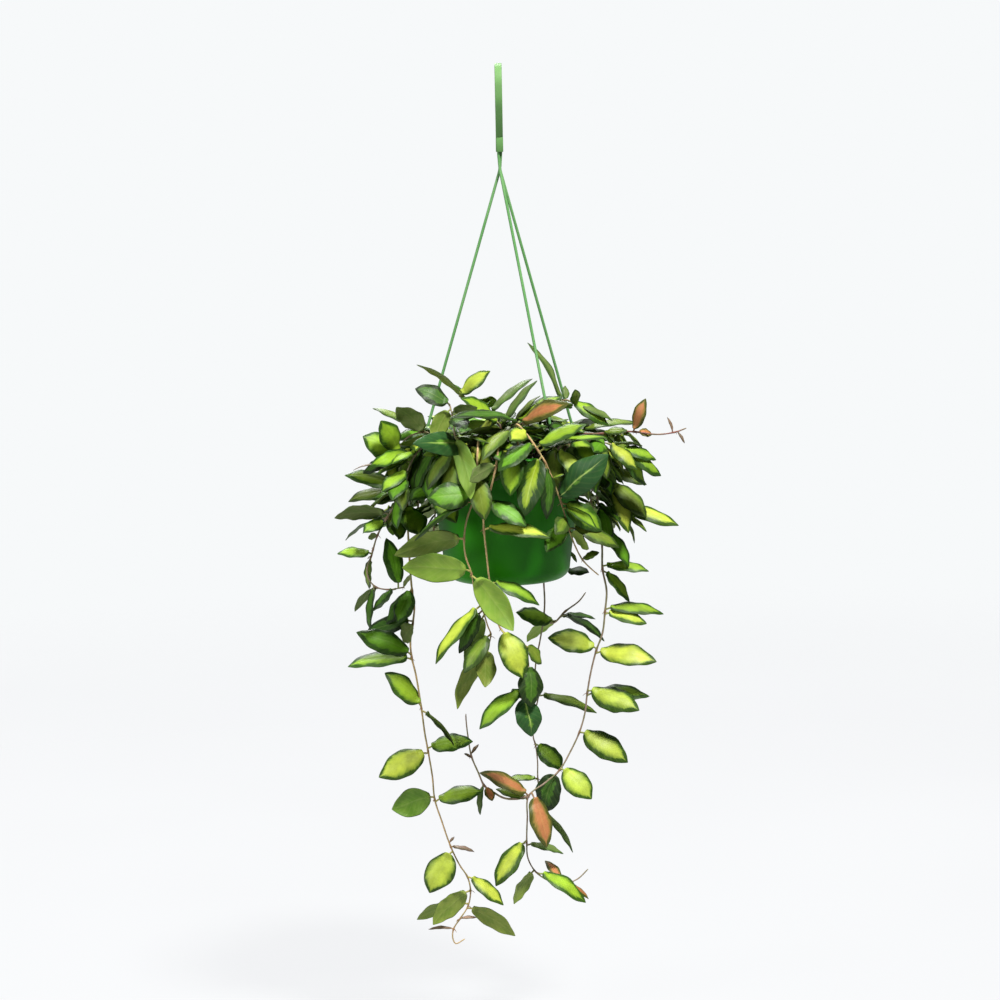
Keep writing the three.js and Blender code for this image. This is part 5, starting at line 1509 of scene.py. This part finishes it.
def build_hook(look):
    form = Form()
    form.add(*rounded_prism(hook_outline(), HOOK_WIDTH / 2, HOOK_BEVEL))
    strip = form.piece("hook_strip", (look,), "hanger", ["hook"])
    strip.data.set_sharp_from_angle(angle=math.radians(35))
    form = Form()
    form.add(*loft(block_rings()))
    block = form.piece("hook_block", (look,), "hanger")
    middle = BLOCK_BOTTOM_Z + (SOCKET_DEPTH - SOCKET_OPEN) / 2
    radius = WIRE_RADIUS + FIT_GAP
    bored(block, [rod((x, y, middle), radius, SOCKET_DEPTH + SOCKET_OPEN) for x, y in SOCKETS.values()])


def rounded_corners(corners):
    """Points along a line through the corners, with a short bend in place of each inner one."""
    line = [corners[0]]
    for before, corner, after in zip(corners, corners[1:], corners[2:]):
        reach = min(WIRE_BEND, 0.4 * np.linalg.norm(corner - before), 0.4 * np.linalg.norm(after - corner))
        start = corner + unit(before - corner) * reach
        end = corner + unit(after - corner) * reach
        for t in np.linspace(0, 1, WIRE_BEND_POINTS):
            line.append(start * (1 - t) ** 2 + corner * 2 * t * (1 - t) + end * t ** 2)
    return np.array([*line, corners[-1]])


def build_wire(name, look):
    hang = HANG_ANGLES[name]
    under = RIM_Z - FLANGE_THICK - FIT_GAP
    line = rounded_corners([
        np.array([*SOCKETS[name], BLOCK_BOTTOM_Z + WIRE_INTO_SOCKET]),
        np.array([*SOCKETS[name], BLOCK_BOTTOM_Z - WIRE_BELOW_BLOCK]),
        np.array([*PINCHES[name], PINCH_Z]),
        polar(HANG_RADIUS, hang, RIM_Z + WIRE_UPRIGHT),
        polar(HANG_RADIUS, hang, under - WIRE_INTO_HEAD),
    ])
    form = Form()
    form.add(*loft(tube_rings(line, np.full(len(line), WIRE_RADIUS), WIRE_SIDES)))
    low = under - HEAD_THICK
    profile = [(0, low), (HEAD_RADIUS - 1.5, low)]
    profile += arc(HEAD_RADIUS - HEAD_EDGE, low + HEAD_EDGE, HEAD_EDGE, -90, 0, 4)
    profile += arc(HEAD_RADIUS - HEAD_EDGE, under - HEAD_EDGE, HEAD_EDGE, 0, 90, 4)
    profile += [(0, under)]
    points, faces = turned(profile, HEAD_SIDES)
    form.add(points + polar(HANG_RADIUS, hang, 0), faces)
    made = form.piece(f"rod_{name.split('_')[1]}", (look,), "hanger", [name])
    made.data.set_sharp_from_angle(angle=math.radians(40))


# Stage, lights and camera

def build_stage():
    n = Nodes("pale_floor")
    position = n.position()
    tint = n.noise(position, 1.5, 2, 0.5)
    n.set(
        Base_Color=n.mix(n.ease(tint, 0.3, 0.7), rgb(64, 65, 65), rgb(68, 69, 69)),
        Roughness=0.9,
        Specular_IOR_Level=0.1,
        Emission_Color=rgb(250, 251, 253),
        Emission_Strength=0.86,
    )
    x, y, _ = n.split(position)
    away = n.math("SQRT", n.plus(n.times(x, x), n.times(y, y)))
    n.set(Alpha=n.ease(away, FLOOR_NEAR, FLOOR_FAR, 1.0, 0.0))
    low = FLOOR_Z - FLOOR_THICK
    profile = [(0, low), (FLOOR_RADIUS, low), (FLOOR_RADIUS, FLOOR_Z), (4, FLOOR_Z), (0, FLOOR_Z)]
    points, faces = turned(profile, FLOOR_SIDES)
    mesh = bpy.data.meshes.new("floor")
    mesh.from_pydata((points * MM).tolist(), [], faces)
    mesh.materials.append(n.material)
    floor = bpy.data.objects.new("floor", mesh)
    bpy.context.scene.collection.objects.link(floor)


def area_light(name, place, target, size, power, colour):
    data = bpy.data.lights.new(name, "AREA")
    data.shape = "DISK"
    data.size = size
    data.energy = power
    data.color = colour
    made = bpy.data.objects.new(name, data)
    bpy.context.scene.collection.objects.link(made)
    way = Vector(target) - Vector(place)
    turn = way.to_track_quat("-Z", "Y").to_matrix().to_4x4()
    made.matrix_world = Matrix.Translation(place) @ turn


def light_studio():
    world = bpy.data.worlds.new("studio")
    world.use_nodes = True
    tree = world.node_tree
    soft = tree.nodes["Background"]
    soft.inputs["Color"].default_value = (0.985, 0.99, 0.98, 1.0)
    soft.inputs["Strength"].default_value = AMBIENT
    backdrop = tree.nodes.new("ShaderNodeBackground")
    backdrop.inputs["Color"].default_value = rgb(247, 249, 250)
    backdrop.inputs["Strength"].default_value = 1.0
    seen_directly = tree.nodes.new("ShaderNodeLightPath").outputs["Is Camera Ray"]
    both = tree.nodes.new("ShaderNodeMixShader")
    tree.links.new(seen_directly, both.inputs[0])
    tree.links.new(soft.outputs[0], both.inputs[1])
    tree.links.new(backdrop.outputs[0], both.inputs[2])
    tree.links.new(both.outputs[0], tree.nodes["World Output"].inputs["Surface"])
    bpy.context.scene.world = world
    bpy.context.scene.view_settings.view_transform = "Standard"
    for name, settings in LIGHTS.items():
        area_light(name, *settings)


def place_camera():
    """The photograph's viewing angle, a little down from level and rolled."""
    pitch = math.radians(CAMERA_PITCH)
    roll = math.radians(CAMERA_ROLL)
    forward = Vector((0, math.cos(pitch), -math.sin(pitch)))
    level = Vector((1, 0, 0))
    upright = level.cross(forward)
    right = level * math.cos(roll) + upright * math.sin(roll)
    up = upright * math.cos(roll) - level * math.sin(roll)
    data = bpy.data.cameras.new("camera")
    data.sensor_width = CAMERA_SENSOR
    data.lens = CAMERA_LENS
    data.clip_end = CAMERA_CLIP
    made = bpy.data.objects.new("camera", data)
    turn = Matrix((right, up, -forward)).transposed().to_4x4()
    made.matrix_world = Matrix.Translation(CAMERA_PLACE) @ turn
    bpy.context.scene.collection.objects.link(made)
    bpy.context.scene.camera = made


place_camera()
light_studio()
build_stage()

build_vines(leaf_material(), stem_material())

build_pot(plastic_material("pot_plastic"))
build_soil(
    soil_material(),
    grain_material("perlite", rgb(222, 220, 210), rgb(170, 166, 154)),
    grain_material("bark", rgb(92, 62, 40), rgb(52, 36, 26)),
)
build_hook(plastic_material("hook_plastic"))
wire_look = plastic_material("wire_plastic")
for name in HANG_ANGLES:
    build_wire(name, wire_look)
